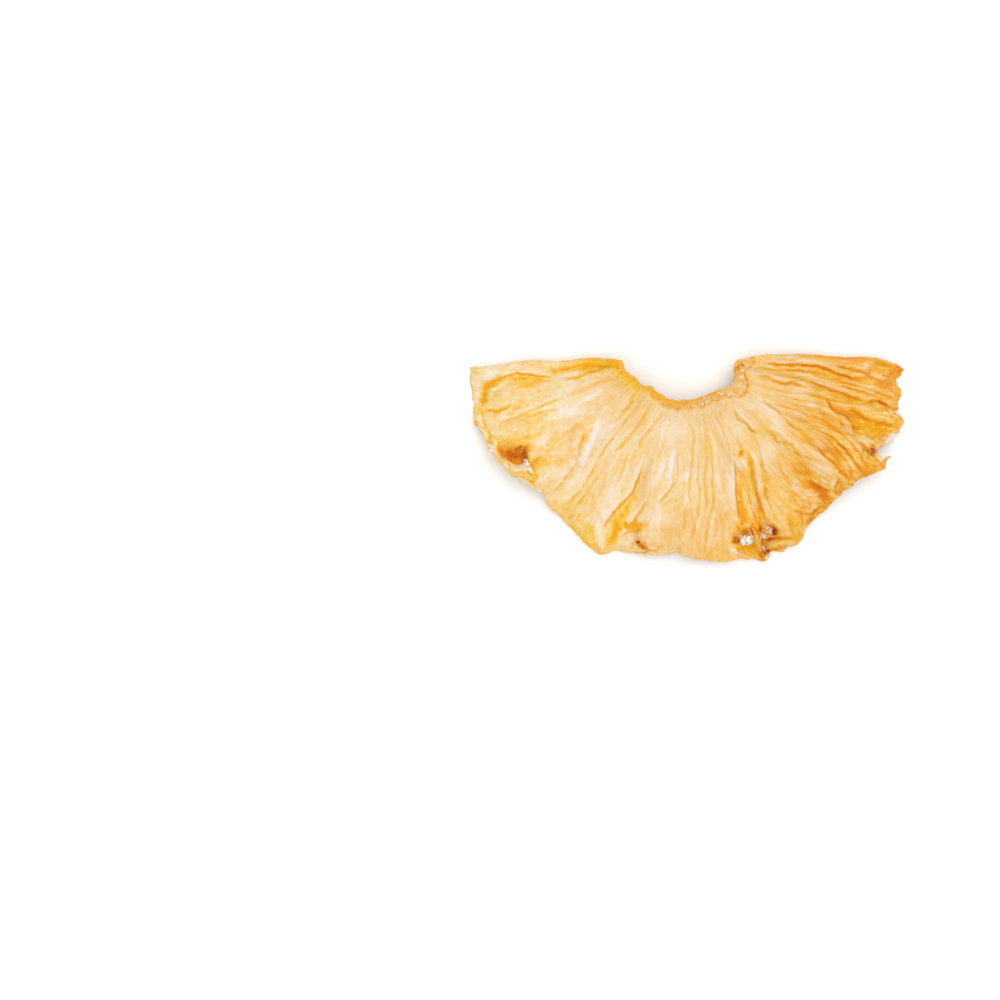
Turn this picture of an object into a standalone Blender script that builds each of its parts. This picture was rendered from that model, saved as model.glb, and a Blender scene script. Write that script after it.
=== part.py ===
"""A dried pineapple slice: half of a cored ring, thin, leathery and wavy, as it lies on a table.

Metres, +Z up. The straight cut runs along X at the back (+Y) with the half hole of the core in
it, and the rim bows towards -Y. The origin is on the table, under the middle of the slice's box.
"""

import math

import bmesh
import bpy

MM = 0.001

# The ring that the slice was cut from
RING_RADIUS = 46.4 * MM
CORE_RADIUS = 13.6 * MM
CORE_OFFSET_X = -1.9 * MM
RIM_SWEEP = 83.0  # degrees from the slice's middle line to either end of its rim
CORE_SWEEP = 69.0  # the same along the half hole of the core

# Thickness of the dried flesh
BODY_THICKNESS = 2.3 * MM
CORE_THICKNESS = 3.1 * MM
RIM_THICKNESS = 1.5 * MM
CORE_EDGE_REACH = 0.16  # of the way from the core (0) to the rim (1)
RIM_TAPER_START = 0.72

# How the slice stands off the table: raised and lipped at the core, wavy towards the rim
UNDERSIDE_LIFT = 0.1 * MM
CORE_LIFT = 2.6 * MM
CORE_LIFT_FALL = 1.4  # above 1 the lift falls off faster near the core
CORE_LIFT_LOSS = 0.35  # share of the lift that is gone at the ends of the cut
CORE_LIP = 1.5 * MM
CORE_LIP_REACH = 0.11
WAVE_PERIOD = 52.7  # degrees of rim from one low spot to the next
WAVE_LOW_SPOT = -80.0
WAVE_HEIGHTS = ((-53.0, 3.0 * MM), (-1.0, 1.9 * MM), (52.0, 3.9 * MM))
WAVE_REACH = 26.0  # degrees
WAVE_GROWTH = 0.7  # below 1 the wave starts nearer the core
RIM_ROLL = 0.9 * MM
RIM_ROLL_START = 0.86

# How far the straight cut bows out between its ends, left and right of the core
CUT_BOW_LEFT = 0.9 * MM
CUT_BOW_RIGHT = 1.9 * MM
CUT_BOW_FADE = 8  # the higher, the closer to the cut the bow stays

# Bulges (+) and hollows (-) of the rim: degrees along it, depth, half width in degrees
RIM_LOBES = (
    (-66.0, 1.5 * MM, 8.5),
    (-45.0, -1.9 * MM, 5.5),
    (-23.5, 2.7 * MM, 5.0),
    (-5.5, -1.6 * MM, 6.0),
    (10.5, 1.0 * MM, 5.0),
    (18.8, 2.4 * MM, 3.0),
    (28.0, 2.2 * MM, 3.8),
    (42.0, -1.1 * MM, 6.0),
    (56.5, 3.2 * MM, 3.4),
    (60.6, -3.5 * MM, 1.9),
    (67.5, 2.2 * MM, 3.2),
    (79.5, -1.6 * MM, 3.6),
)

# The same along the half hole of the core
CORE_LOBES = (
    (-32.0, -1.2 * MM, 14.0),
    (49.0, 1.4 * MM, 7.0),
    (64.0, -0.5 * MM, 5.0),
)

# Folds that run with the fibres: degrees, where they start and end between the core (0) and the
# rim (1), height (ridge +, valley -), half width in degrees
FOLD_FADE = 0.18
FOLDS = (
    (-76.0, 0.15, 0.92, -0.8 * MM, 2.6),
    (-66.0, 0.30, 0.95, 0.6 * MM, 5.0),
    (-46.0, 0.20, 0.80, 0.5 * MM, 4.0),
    (-17.0, 0.50, 0.95, -0.8 * MM, 2.2),
    (-10.5, 0.45, 0.95, 0.5 * MM, 3.5),
    (2.0, 0.20, 0.90, 0.4 * MM, 4.0),
    (22.0, 0.35, 0.90, -0.8 * MM, 3.0),
    (30.0, 0.40, 0.98, 0.6 * MM, 4.0),
    (48.0, 0.25, 0.85, 0.5 * MM, 4.0),
    (57.0, 0.30, 0.75, -0.6 * MM, 2.4),
    (67.0, 0.30, 0.90, 0.6 * MM, 3.2),
    (73.0, 0.10, 0.85, -0.6 * MM, 2.2),
)

# Pits left by the fruit's eyes: degrees, distance in from the rim, half length along the rim,
# half length along the fibres, depth
EYES = (
    (-76.5, 4.6 * MM, 2.6 * MM, 4.4 * MM, 0.6 * MM),
    (-55.5, 2.9 * MM, 3.2 * MM, 2.0 * MM, 1.4 * MM),
    (-15.5, 3.3 * MM, 1.5 * MM, 1.6 * MM, 0.7 * MM),
    (15.8, 4.2 * MM, 1.9 * MM, 1.6 * MM, 1.2 * MM),
    (22.7, 3.9 * MM, 1.9 * MM, 2.1 * MM, 1.3 * MM),
    (42.5, 4.2 * MM, 3.0 * MM, 2.6 * MM, 0.5 * MM),
    (60.0, 4.6 * MM, 2.4 * MM, 3.0 * MM, 1.2 * MM),
)
EYE_LIP = 0.35  # the raised lip round a pit, as a share of its depth
EYE_LIP_DISTANCE = 1.5  # from the pit's middle, and half breadth, in half lengths of the pit
EYE_LIP_BREADTH = 0.5

# Stretches where the rim rolls up into a bead: degrees, half width in degrees, distance in from
# the rim, height, half breadth
RIM_BEADS = (
    (-52.0, 7.0, 0.9 * MM, 0.6 * MM, 0.9 * MM),
    (27.0, 5.5, 1.0 * MM, 0.8 * MM, 0.9 * MM),
)

# Grid of the solid: columns along the rim, rows from the core to the rim
COLUMNS = 108
ROWS = 22


def swell(x, centre, half_width):
    """A smooth bump of height 1 at centre."""
    return math.exp(-(((x - centre) / half_width) ** 2))


def ease(x):
    """0 at 0 and 1 at 1, flat at both ends."""
    x = min(max(x, 0.0), 1.0)
    return x * x * (3.0 - 2.0 * x)


def rim_radius(angle):
    """Distance of the rim from the core's axis, with the bulges of the fruitlets."""
    return RING_RADIUS + sum(h * swell(angle, at, wide) for at, h, wide in RIM_LOBES)


def core_radius(angle):
    return CORE_RADIUS + sum(h * swell(angle, at, wide) for at, h, wide in CORE_LOBES)


def cut_bow(across, out):
    """How far the straight cut bows towards +Y, dying out away from it."""
    bow = CUT_BOW_LEFT if across < 0.0 else CUT_BOW_RIGHT
    return bow * math.sin(math.pi * out) * across**CUT_BOW_FADE


def plan_point(across, out):
    """Where a point of the slice lies in plan, from the core's axis. across runs from -1 at the
    left end of the cut to 1 at its right end, and out from 0 at the core to 1 at the rim."""
    core_angle = across * CORE_SWEEP
    rim_angle = across * RIM_SWEEP
    inner = core_radius(core_angle)
    outer = rim_radius(rim_angle)
    core_x = CORE_OFFSET_X + inner * math.sin(math.radians(core_angle))
    core_y = -inner * math.cos(math.radians(core_angle))
    rim_x = outer * math.sin(math.radians(rim_angle))
    rim_y = -outer * math.cos(math.radians(rim_angle))
    x = core_x + (rim_x - core_x) * out
    y = core_y + (rim_y - core_y) * out
    return x, y + cut_bow(across, out)


def wave_height(angle, out):
    """The slow wave of the rim, which touches the table at its low spots."""
    turn = 2.0 * math.pi * (angle - WAVE_LOW_SPOT) / WAVE_PERIOD
    height = sum(h * swell(angle, at, WAVE_REACH) for at, h in WAVE_HEIGHTS)
    return height * 0.5 * (1.0 - math.cos(turn)) * ease(out) ** WAVE_GROWTH


def fold_height(angle, out):
    total = 0.0
    for at, start, end, height, wide in FOLDS:
        along = ease(1.0 + (out - start) / FOLD_FADE) * ease(1.0 + (end - out) / FOLD_FADE)
        total += height * swell(angle, at, wide) * along
    return total


def eye_height(angle, out):
    """Bowls with a low lip, in distances along the rim and along the fibres."""
    radius = rim_radius(angle)
    total = 0.0
    for at, inset, half_wide, half_long, depth in EYES:
        sideways = math.radians(angle - at) * radius / half_wide
        lengthways = ((1.0 - out) * (radius - CORE_RADIUS) - inset) / half_long
        reach = math.hypot(sideways, lengthways)
        total -= depth * swell(reach, 0.0, 1.0)
        total += depth * EYE_LIP * swell(reach, EYE_LIP_DISTANCE, EYE_LIP_BREADTH)
    return total


def bead_height(angle, out):
    inset_here = (1.0 - out) * (rim_radius(angle) - CORE_RADIUS)
    total = 0.0
    for at, half_sweep, inset, height, half_breadth in RIM_BEADS:
        total += height * swell(angle, at, half_sweep) * swell(inset_here, inset, half_breadth)
    return total


def thickness(out):
    """Thick at the tough core edge, thin at the rim."""
    at_core = swell(out, 0.0, CORE_EDGE_REACH)
    at_rim = ease((out - RIM_TAPER_START) / (1.0 - RIM_TAPER_START))
    return (
        BODY_THICKNESS
        + (CORE_THICKNESS - BODY_THICKNESS) * at_core
        + (RIM_THICKNESS - BODY_THICKNESS) * at_rim
    )


def middle_height(across, out):
    """Height of the middle of the flesh above the table."""
    angle = across * RIM_SWEEP
    height = 0.5 * BODY_THICKNESS + UNDERSIDE_LIFT
    height += CORE_LIFT * (1.0 - out) ** CORE_LIFT_FALL * (1.0 - CORE_LIFT_LOSS * across**2)
    height += CORE_LIP * swell(out, 0.0, CORE_LIP_REACH)
    height -= RIM_ROLL * ease((out - RIM_ROLL_START) / (1.0 - RIM_ROLL_START))
    height += wave_height(angle, out) + fold_height(angle, out)
    height += eye_height(angle, out) + bead_height(angle, out)
    return height


def make_flesh_material():
    material = bpy.data.materials.new("dried_flesh")
    material.use_nodes = True
    shader = material.node_tree.nodes["Principled BSDF"]
    shader.inputs["Base Color"].default_value = (0.90, 0.60, 0.26, 1.0)
    shader.inputs["Roughness"].default_value = 0.55
    shader.inputs["Metallic"].default_value = 0.0
    return material


def make_middle_sheet(name):
    """The middle of the flesh as an open sheet: a flat grid bent into the half ring."""
    mesh = bpy.data.meshes.new(name)
    sheet = bpy.data.objects.new(name, mesh)
    thickness_group = sheet.vertex_groups.new(name="thickness")
    bm = bmesh.new()
    bmesh.ops.create_grid(bm, x_segments=COLUMNS, y_segments=ROWS, size=1.0)
    weights = bm.verts.layers.deform.verify()
    for vert in bm.verts:
        across = vert.co.x
        out = 0.5 * (1.0 - vert.co.y)
        x, y = plan_point(across, out)
        vert.co = (x, y, middle_height(across, out))
        vert[weights][thickness_group.index] = thickness(out) / CORE_THICKNESS
    bmesh.ops.triangulate(bm, faces=bm.faces)
    bmesh.ops.recalc_face_normals(bm, faces=bm.faces)
    if sum(face.normal.z for face in bm.faces) < 0.0:
        bmesh.ops.reverse_faces(bm, faces=bm.faces)
    bm.to_mesh(mesh)
    bm.free()
    return sheet


def thicken(sheet):
    """Gives the sheet its thickness, to both sides alike."""
    solidify = sheet.modifiers.new("flesh", "SOLIDIFY")
    solidify.thickness = CORE_THICKNESS
    solidify.offset = 0.0
    solidify.use_rim = True
    solidify.vertex_group = "thickness"


def settle(sheet, name):
    """Makes the slice a plain mesh whose low spots are pressed flat on the table."""
    graph = bpy.context.evaluated_depsgraph_get()
    mesh = bpy.data.meshes.new_from_object(sheet.evaluated_get(graph))
    mesh.name = name
    for vert in mesh.vertices:
        vert.co.z = max(vert.co.z, 0.0)
    return bpy.data.objects.new(name, mesh)


def centre_on_origin(slice_object):
    """Moves the slice so that the middle of its box is over the origin."""
    points = [vert.co for vert in slice_object.data.vertices]
    for axis in range(2):
        low = min(point[axis] for point in points)
        high = max(point[axis] for point in points)
        slice_object.location[axis] = -0.5 * (low + high)


def build():
    for old in list(bpy.data.objects):
        bpy.data.objects.remove(old, do_unlink=True)
    collection = bpy.data.collections.new("dried_pineapple")
    bpy.context.scene.collection.children.link(collection)

    sheet = make_middle_sheet("middle_sheet")
    collection.objects.link(sheet)
    thicken(sheet)
    bpy.context.view_layer.update()
    slice_object = settle(sheet, "dried_pineapple_slice")
    bpy.data.objects.remove(sheet, do_unlink=True)

    collection.objects.link(slice_object)
    slice_object.data.materials.append(make_flesh_material())
    slice_object.data.shade_smooth()
    centre_on_origin(slice_object)


build()
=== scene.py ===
import math

import bmesh
import bpy
import numpy as np
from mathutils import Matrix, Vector


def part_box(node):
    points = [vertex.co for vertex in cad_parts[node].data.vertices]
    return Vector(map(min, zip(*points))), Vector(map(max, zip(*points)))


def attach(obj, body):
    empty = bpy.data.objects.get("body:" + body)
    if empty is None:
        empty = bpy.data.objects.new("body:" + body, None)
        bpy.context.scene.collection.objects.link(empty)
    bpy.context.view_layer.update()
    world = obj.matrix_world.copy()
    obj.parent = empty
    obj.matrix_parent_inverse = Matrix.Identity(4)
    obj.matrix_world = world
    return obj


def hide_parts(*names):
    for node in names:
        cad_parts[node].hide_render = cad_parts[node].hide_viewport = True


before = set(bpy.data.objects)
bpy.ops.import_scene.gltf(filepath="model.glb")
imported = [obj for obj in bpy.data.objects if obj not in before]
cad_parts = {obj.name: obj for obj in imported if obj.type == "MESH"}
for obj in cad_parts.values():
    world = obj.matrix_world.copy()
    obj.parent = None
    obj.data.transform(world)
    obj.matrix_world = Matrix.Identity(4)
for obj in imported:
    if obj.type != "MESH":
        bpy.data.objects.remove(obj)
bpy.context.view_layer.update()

# Dried pineapple: half of a cored ring, lying on a table. Lengths are in millimetres until a
# mesh is made. Angles are degrees round the fruit's core, 0 in the middle of the rim.

cadNode = "dried_pineapple_slice"
sliceLow, sliceHigh = (np.array(corner) * 1000.0 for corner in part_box(cadNode))
mm = 0.001
seeds = dict(wobble=3, rim=11, core=12, cuts=13, warp=20, cross=25, rough=26, face=31, tone=41, under=51,
             coreGrain=61, crumbs=62, crumbShapes=63, fibres=64)


# Small maths

def swell(x, centre, halfWidth):  # a smooth bump of height 1
    return np.exp(-(((x - centre) / halfWidth) ** 2))


def swells(x, rows):  # several of them, from rows of centre, height and half width
    return sum(height * swell(x, centre, halfWidth) for centre, height, halfWidth in rows)


def turned(x, y, degrees):  # the same place, measured along axes turned by this much
    turn = math.radians(degrees)
    return x * math.cos(turn) + y * math.sin(turn), y * math.cos(turn) - x * math.sin(turn)


def ease(x):  # 0 at 0 and 1 at 1, flat at both ends
    x = np.clip(x, 0.0, 1.0)
    return x * x * (3.0 - 2.0 * x)


def makeNoise(seed):  # smooth 2D noise between about -1 and 1
    draw = np.random.default_rng(seed)
    order = draw.permutation(256)
    turn = draw.uniform(0.0, 2.0 * math.pi, 256)
    pushX, pushY = np.cos(turn), np.sin(turn)

    def noise(x, y):
        x, y = np.broadcast_arrays(np.asarray(x, float), np.asarray(y, float))
        cellX, cellY = np.floor(x).astype(int), np.floor(y).astype(int)
        fracX, fracY = x - cellX, y - cellY

        def corner(stepX, stepY):
            pick = order[(order[(cellX + stepX) & 255] + cellY + stepY) & 255]
            return pushX[pick] * (fracX - stepX) + pushY[pick] * (fracY - stepY)

        blendX, blendY = ease(fracX), ease(fracY)
        low = corner(0, 0) + (corner(1, 0) - corner(0, 0)) * blendX
        high = corner(0, 1) + (corner(1, 1) - corner(0, 1)) * blendX
        return 1.5 * (low + (high - low) * blendY)

    return noise


def smoothCurve(points, spacing=0.25):  # a rounded line through a few points
    points = np.array(points, float)
    ends = (2.0 * points[0] - points[1], 2.0 * points[-1] - points[-2])
    path = np.vstack([ends[0], points, ends[1]])
    pieces = []
    for i in range(1, len(path) - 2):
        a, b, c, d = path[i - 1], path[i], path[i + 1], path[i + 2]
        count = max(2, int(np.linalg.norm(c - b) / spacing))
        t = np.linspace(0.0, 1.0, count, endpoint=False)[:, None]
        pieces.append(
            0.5 * (2.0 * b + (c - a) * t + (2.0 * a - 5.0 * b + 4.0 * c - d) * t**2
                   + (3.0 * b - 3.0 * c + d - a) * t**3)
        )
    return np.vstack(pieces + [points[-1:]])


# The form of the slice

form = dict(
    ringRadius=46.4, coreRadius=13.6, coreShiftX=-1.9, rimSweep=83.0, coreSweep=69.0,
    axisFromMiddle=0.34, axisFromLowestRim=46.82,
    bodyThickness=2.3, coreThickness=3.1, rimThickness=1.5, coreEdgeReach=0.16, rimTaperStart=0.72,
    undersideLift=0.1, coreLift=2.6, coreLiftFall=1.4, coreLiftLoss=0.35,
    coreLip=1.5, coreLipReach=0.11,
    wavePeriod=52.7, waveLowSpot=-80.0, waveReach=26.0, waveGrowth=0.7,
    waveHeights=((-53.0, 3.0), (-1.0, 1.9), (52.0, 3.9)),
    rimRoll=0.9, rimRollStart=0.86,
    cutBowLeft=0.9, cutBowRight=1.9, cutBowFade=8, cutWaveReach=4.0,
    foldFade=0.18, eyeLip=0.35, eyeLipDistance=1.5, eyeLipBreadth=0.5,
)
rimLobes = (  # degrees, height, half width in degrees
    (-66, 1.5, 8.5), (-45, -1.9, 5.5), (-23.5, 2.7, 5), (-5.5, -1.6, 6), (10.5, 1, 5), (18.8, 2.4, 3),
    (28, 2.2, 3.8), (42, -1.1, 6), (56.5, 3.2, 3.4), (60.6, -3.5, 1.9), (67.5, 2.2, 3.2), (79.5, -1.6, 3.6),
)
coreLobes = ((-32, -1.2, 14), (49, 1.4, 7), (64, -0.5, 5))
folds = (  # degrees, start and end on the way from the core to the rim, height, half width
    (-76, 0.15, 0.92, -0.8, 2.6), (-66, 0.3, 0.95, 0.6, 5), (-46, 0.2, 0.8, 0.5, 4),
    (-17, 0.5, 0.95, -0.8, 2.2), (-10.5, 0.45, 0.95, 0.5, 3.5), (2, 0.2, 0.9, 0.4, 4),
    (22, 0.35, 0.9, -0.8, 3), (30, 0.4, 0.98, 0.6, 4), (48, 0.25, 0.85, 0.5, 4), (57, 0.3, 0.75, -0.6, 2.4),
    (67, 0.3, 0.9, 0.6, 3.2), (73, 0.1, 0.85, -0.6, 2.2),
)
eyes = (  # degrees, in from the rim, half width, half length, depth
    (-76.5, 4.6, 2.6, 4.4, 0.6), (-55.5, 2.9, 3.2, 2, 1.4), (-15.5, 3.3, 1.5, 1.6, 0.7),
    (15.8, 4.2, 1.9, 1.6, 1.2), (22.7, 3.9, 1.9, 2.1, 1.3), (42.5, 4.2, 3, 2.6, 0.5),
    (60, 4.6, 2.4, 3, 1.2),
)
rimBeads = ((-52, 7, 0.9, 0.6, 0.9), (27, 5.5, 1, 0.8, 0.9))
axisX = 0.5 * (sliceLow[0] + sliceHigh[0]) + form["axisFromMiddle"]
axisY = sliceLow[1] + form["axisFromLowestRim"]


def formRimRadius(angle):
    return form["ringRadius"] + swells(angle, rimLobes)


def formCoreRadius(angle):
    return form["coreRadius"] + swells(angle, coreLobes)


def formHeight(across, out):  # height of the middle of the flesh above the table
    f = form
    angle = across * f["rimSweep"]
    turn = 2.0 * math.pi * (angle - f["waveLowSpot"]) / f["wavePeriod"]
    wave = sum(h * swell(angle, at, f["waveReach"]) for at, h in f["waveHeights"])
    height = 0.5 * f["bodyThickness"] + f["undersideLift"]
    height = height + f["coreLift"] * (1.0 - out) ** f["coreLiftFall"] * (1.0 - f["coreLiftLoss"] * across**2)
    height += f["coreLip"] * swell(out, 0.0, f["coreLipReach"])
    height -= f["rimRoll"] * ease((out - f["rimRollStart"]) / (1.0 - f["rimRollStart"]))
    height += wave * 0.5 * (1.0 - np.cos(turn)) * ease(out) ** f["waveGrowth"]
    for at, start, end, tall, wide in folds:
        along = ease(1.0 + (out - start) / f["foldFade"]) * ease(1.0 + (end - out) / f["foldFade"])
        height += tall * swell(angle, at, wide) * along
    radius = formRimRadius(angle)
    inset = (1.0 - out) * (radius - f["coreRadius"])
    for at, depthIn, halfWide, halfLong, depth in eyes:
        reach = np.hypot(np.radians(angle - at) * radius / halfWide, (inset - depthIn) / halfLong)
        height -= depth * swell(reach, 0.0, 1.0)
        height += depth * f["eyeLip"] * swell(reach, f["eyeLipDistance"], f["eyeLipBreadth"])
    for at, sweep, depthIn, tall, breadth in rimBeads:
        height += tall * swell(angle, at, sweep) * swell(inset, depthIn, breadth)
    return height


def formThickness(out):
    f = form
    atCore = swell(out, 0.0, f["coreEdgeReach"])
    atRim = ease((out - f["rimTaperStart"]) / (1.0 - f["rimTaperStart"]))
    return (f["bodyThickness"] + (f["coreThickness"] - f["bodyThickness"]) * atCore
            + (f["rimThickness"] - f["bodyThickness"]) * atRim)


# The fine surface: a lattice of columns round the rim and rows from the core to the rim

lattice = dict(columns=640, rows=136, finerFromRow=40, edge=(0.0, 0.05, 0.14, 0.28, 0.48, 0.74, 1.0),
               arcRadius=42.0)
rimNicks = (  # torn places of the rim: degrees, height, half width in degrees
    (-82, -0.4, 1.5), (-73.4, -0.4, 0.8), (-69, 0.5, 1.5), (-65, -0.3, 3.2), (-61, 0.35, 1.4),
    (-58, 0.25, 2.5), (-50, 0.8, 6), (-50.5, -0.5, 0.8), (-43, -0.5, 0.9), (-36, -0.6, 2), (-24.5, -0.5, 3),
    (-19, -0.8, 1.6), (-7, 0.6, 4), (-3, -0.5, 1.2), (14.8, 0.5, 1), (19.6, 0.5, 1.2), (21.3, -0.1, 0.6),
    (23.8, 1.5, 1.6), (31.6, -0.5, 1), (39, 0.5, 1.5), (45, -0.4, 1), (49, -0.4, 0.8), (54.5, -0.7, 1.5),
    (57.4, -0.9, 1), (58.8, -0.8, 0.8), (61.2, 2.6, 1.4), (63.2, 1.2, 1.1), (67, -0.5, 0.8),
    (70.8, -1.7, 0.6), (69.2, 0.5, 0.6), (73, -0.5, 0.9), (76.2, 0.5, 1.1), (79, -0.1, 0.9),
    (80.8, 0.5, 0.7), (82.6, 0.1, 0.6),
)
cutWaves = (  # where the two cuts rise and fall: place along x, height, half width
    (-27, -0.5, 3), (-18, 0.35, 3.5), (-41, -0.5, 6), (16, 0.5, 3.5), (31, -0.4, 3.5), (39.5, 0.5, 3),
    (45.8, -0.8, 1),
)
jagged = dict(smoothLeft=0.17, roughRight=0.34, roughFrom=15.0, roughBy=45.0)
coreBulge = (  # how far the cut face stands out into the hole: degrees, height, half width
    (0, 0.65, 60), (-48, 0.7, 4), (-38, -0.4, 6), (52, 0.35, 6), (42, -0.45, 5), (68, 0.5, 6),
    (-68, 0.3, 4),
)
coreFace = dict(  # width of the cut face round the core that shows from above
    left=0.75, middle=1.35, wide=2.7, wideAt=46.0, wideBy=13.0, lip=3.2, lipAt=66.0, lipBy=7.0,
    grain=0.13, grainSize=0.5, groove=0.30, grooveWidth=0.35,
)


def rimRadius(angle):
    radius = formRimRadius(angle) + swells(angle, rimNicks)
    tear = makeNoise(seeds["rim"])
    rough = ease((angle - jagged["roughFrom"]) / jagged["roughBy"])
    size = jagged["smoothLeft"] + (jagged["roughRight"] - jagged["smoothLeft"]) * rough
    teeth = tear(angle / 1.9, 0.5) + 0.6 * tear(angle / 0.8, 7.5) + 0.35 * tear(angle / 0.4, 3.5)
    return radius + size * teeth


def coreRadius(angle):
    scallop = makeNoise(seeds["core"])
    leftSide = ease((-angle - 5.0) / 20.0)
    radius = formCoreRadius(angle) + (0.10 + 0.22 * leftSide) * scallop(angle / 7.0, 0.5)
    radius -= swells(angle, coreBulge)
    return radius + 0.10 * scallop(angle / 2.4, 3.5)


def coreFaceWidth(angle):
    c = coreFace
    width = c["left"] + (c["middle"] - c["left"]) * ease((angle + 40.0) / 35.0)
    width = np.maximum(width, c["wide"] * swell(angle, c["wideAt"], c["wideBy"]))
    return np.maximum(width, c["lip"] * swell(angle, c["lipAt"], c["lipBy"]))


def makeLattice():
    rows, columns = lattice["rows"], lattice["columns"]
    edge = np.array(lattice["edge"])
    border = len(edge) - 1
    half = columns // 2
    row = np.arange(rows + 1)[:, None]
    step = np.minimum(np.arange(columns + 1), columns - np.arange(columns + 1))  # from either cut
    side = np.where(np.arange(columns + 1) < half, -1.0, 1.0)[None, :]
    guess = row / rows
    halfArc = math.radians(form["coreSweep"]) * form["coreRadius"] * (1.0 - guess)
    halfArc = halfArc + math.radians(form["rimSweep"]) * form["ringRadius"] * guess
    inner = edge[-1] + (halfArc - edge[-1]) * (step[None, :] - border) / (half - border)
    fromCut = np.where(step[None, :] <= border, edge[np.minimum(step, border)][None, :], inner)
    across = side * (1.0 - fromCut / halfArc)
    coreAngle, rimAngle = across * form["coreSweep"], across * form["rimSweep"]
    inRadius, outRadius = coreRadius(coreAngle), rimRadius(rimAngle)
    coreX = form["coreShiftX"] + inRadius * np.sin(np.radians(coreAngle))
    coreY = -inRadius * np.cos(np.radians(coreAngle))
    rimX, rimY = outRadius * np.sin(np.radians(rimAngle)), -outRadius * np.cos(np.radians(rimAngle))
    length = np.hypot(rimX - coreX, rimY - coreY)
    middle = edge[-1] + (length - 2.0 * edge[-1]) * (row - border) / (rows - 2 * border)
    fromCore = np.where(row <= border, edge[np.minimum(row, border)], middle)
    fromCore = np.where(row >= rows - border, length - edge[np.minimum(rows - row, border)], fromCore)
    out = fromCore / length
    bow = np.where(across < 0.0, form["cutBowLeft"], form["cutBowRight"])
    x = coreX + (rimX - coreX) * out + axisX
    y = coreY + (rimY - coreY) * out + bow * np.sin(math.pi * out) * across ** form["cutBowFade"] + axisY
    ragged = swells(x, cutWaves)
    rough = makeNoise(seeds["cuts"])
    ragged = ragged + 0.10 * rough(x / 1.6, 0.5) + 0.06 * rough(x / 0.7, 4.5)
    y += ragged * np.exp(-fromCut / form["cutWaveReach"])
    # the form knows nothing of the nicks, so its own way out is worked out on the smooth rim
    smoothLength = length - outRadius + formRimRadius(rimAngle)
    formOut = np.clip(fromCore / smoothLength, 0.0, 1.0)
    return dict(x=x, y=y, across=across, angle=rimAngle, coreAngle=coreAngle, formOut=formOut,
                arc=np.radians(rimAngle) * lattice["arcRadius"], fromCore=fromCore,
                fromRim=length - fromCore, fromCut=fromCut)


lat = makeLattice()
print("lattice", lat["x"].shape)


def spotAt(place, reach):  # 1 at this place on the table, fading out round it
    return swell(np.hypot(lat["x"] - place[0], lat["y"] - place[1]), 0.0, reach)


# What the photo shows on this slice: creases, patches and pits, in mm on the table

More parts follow.
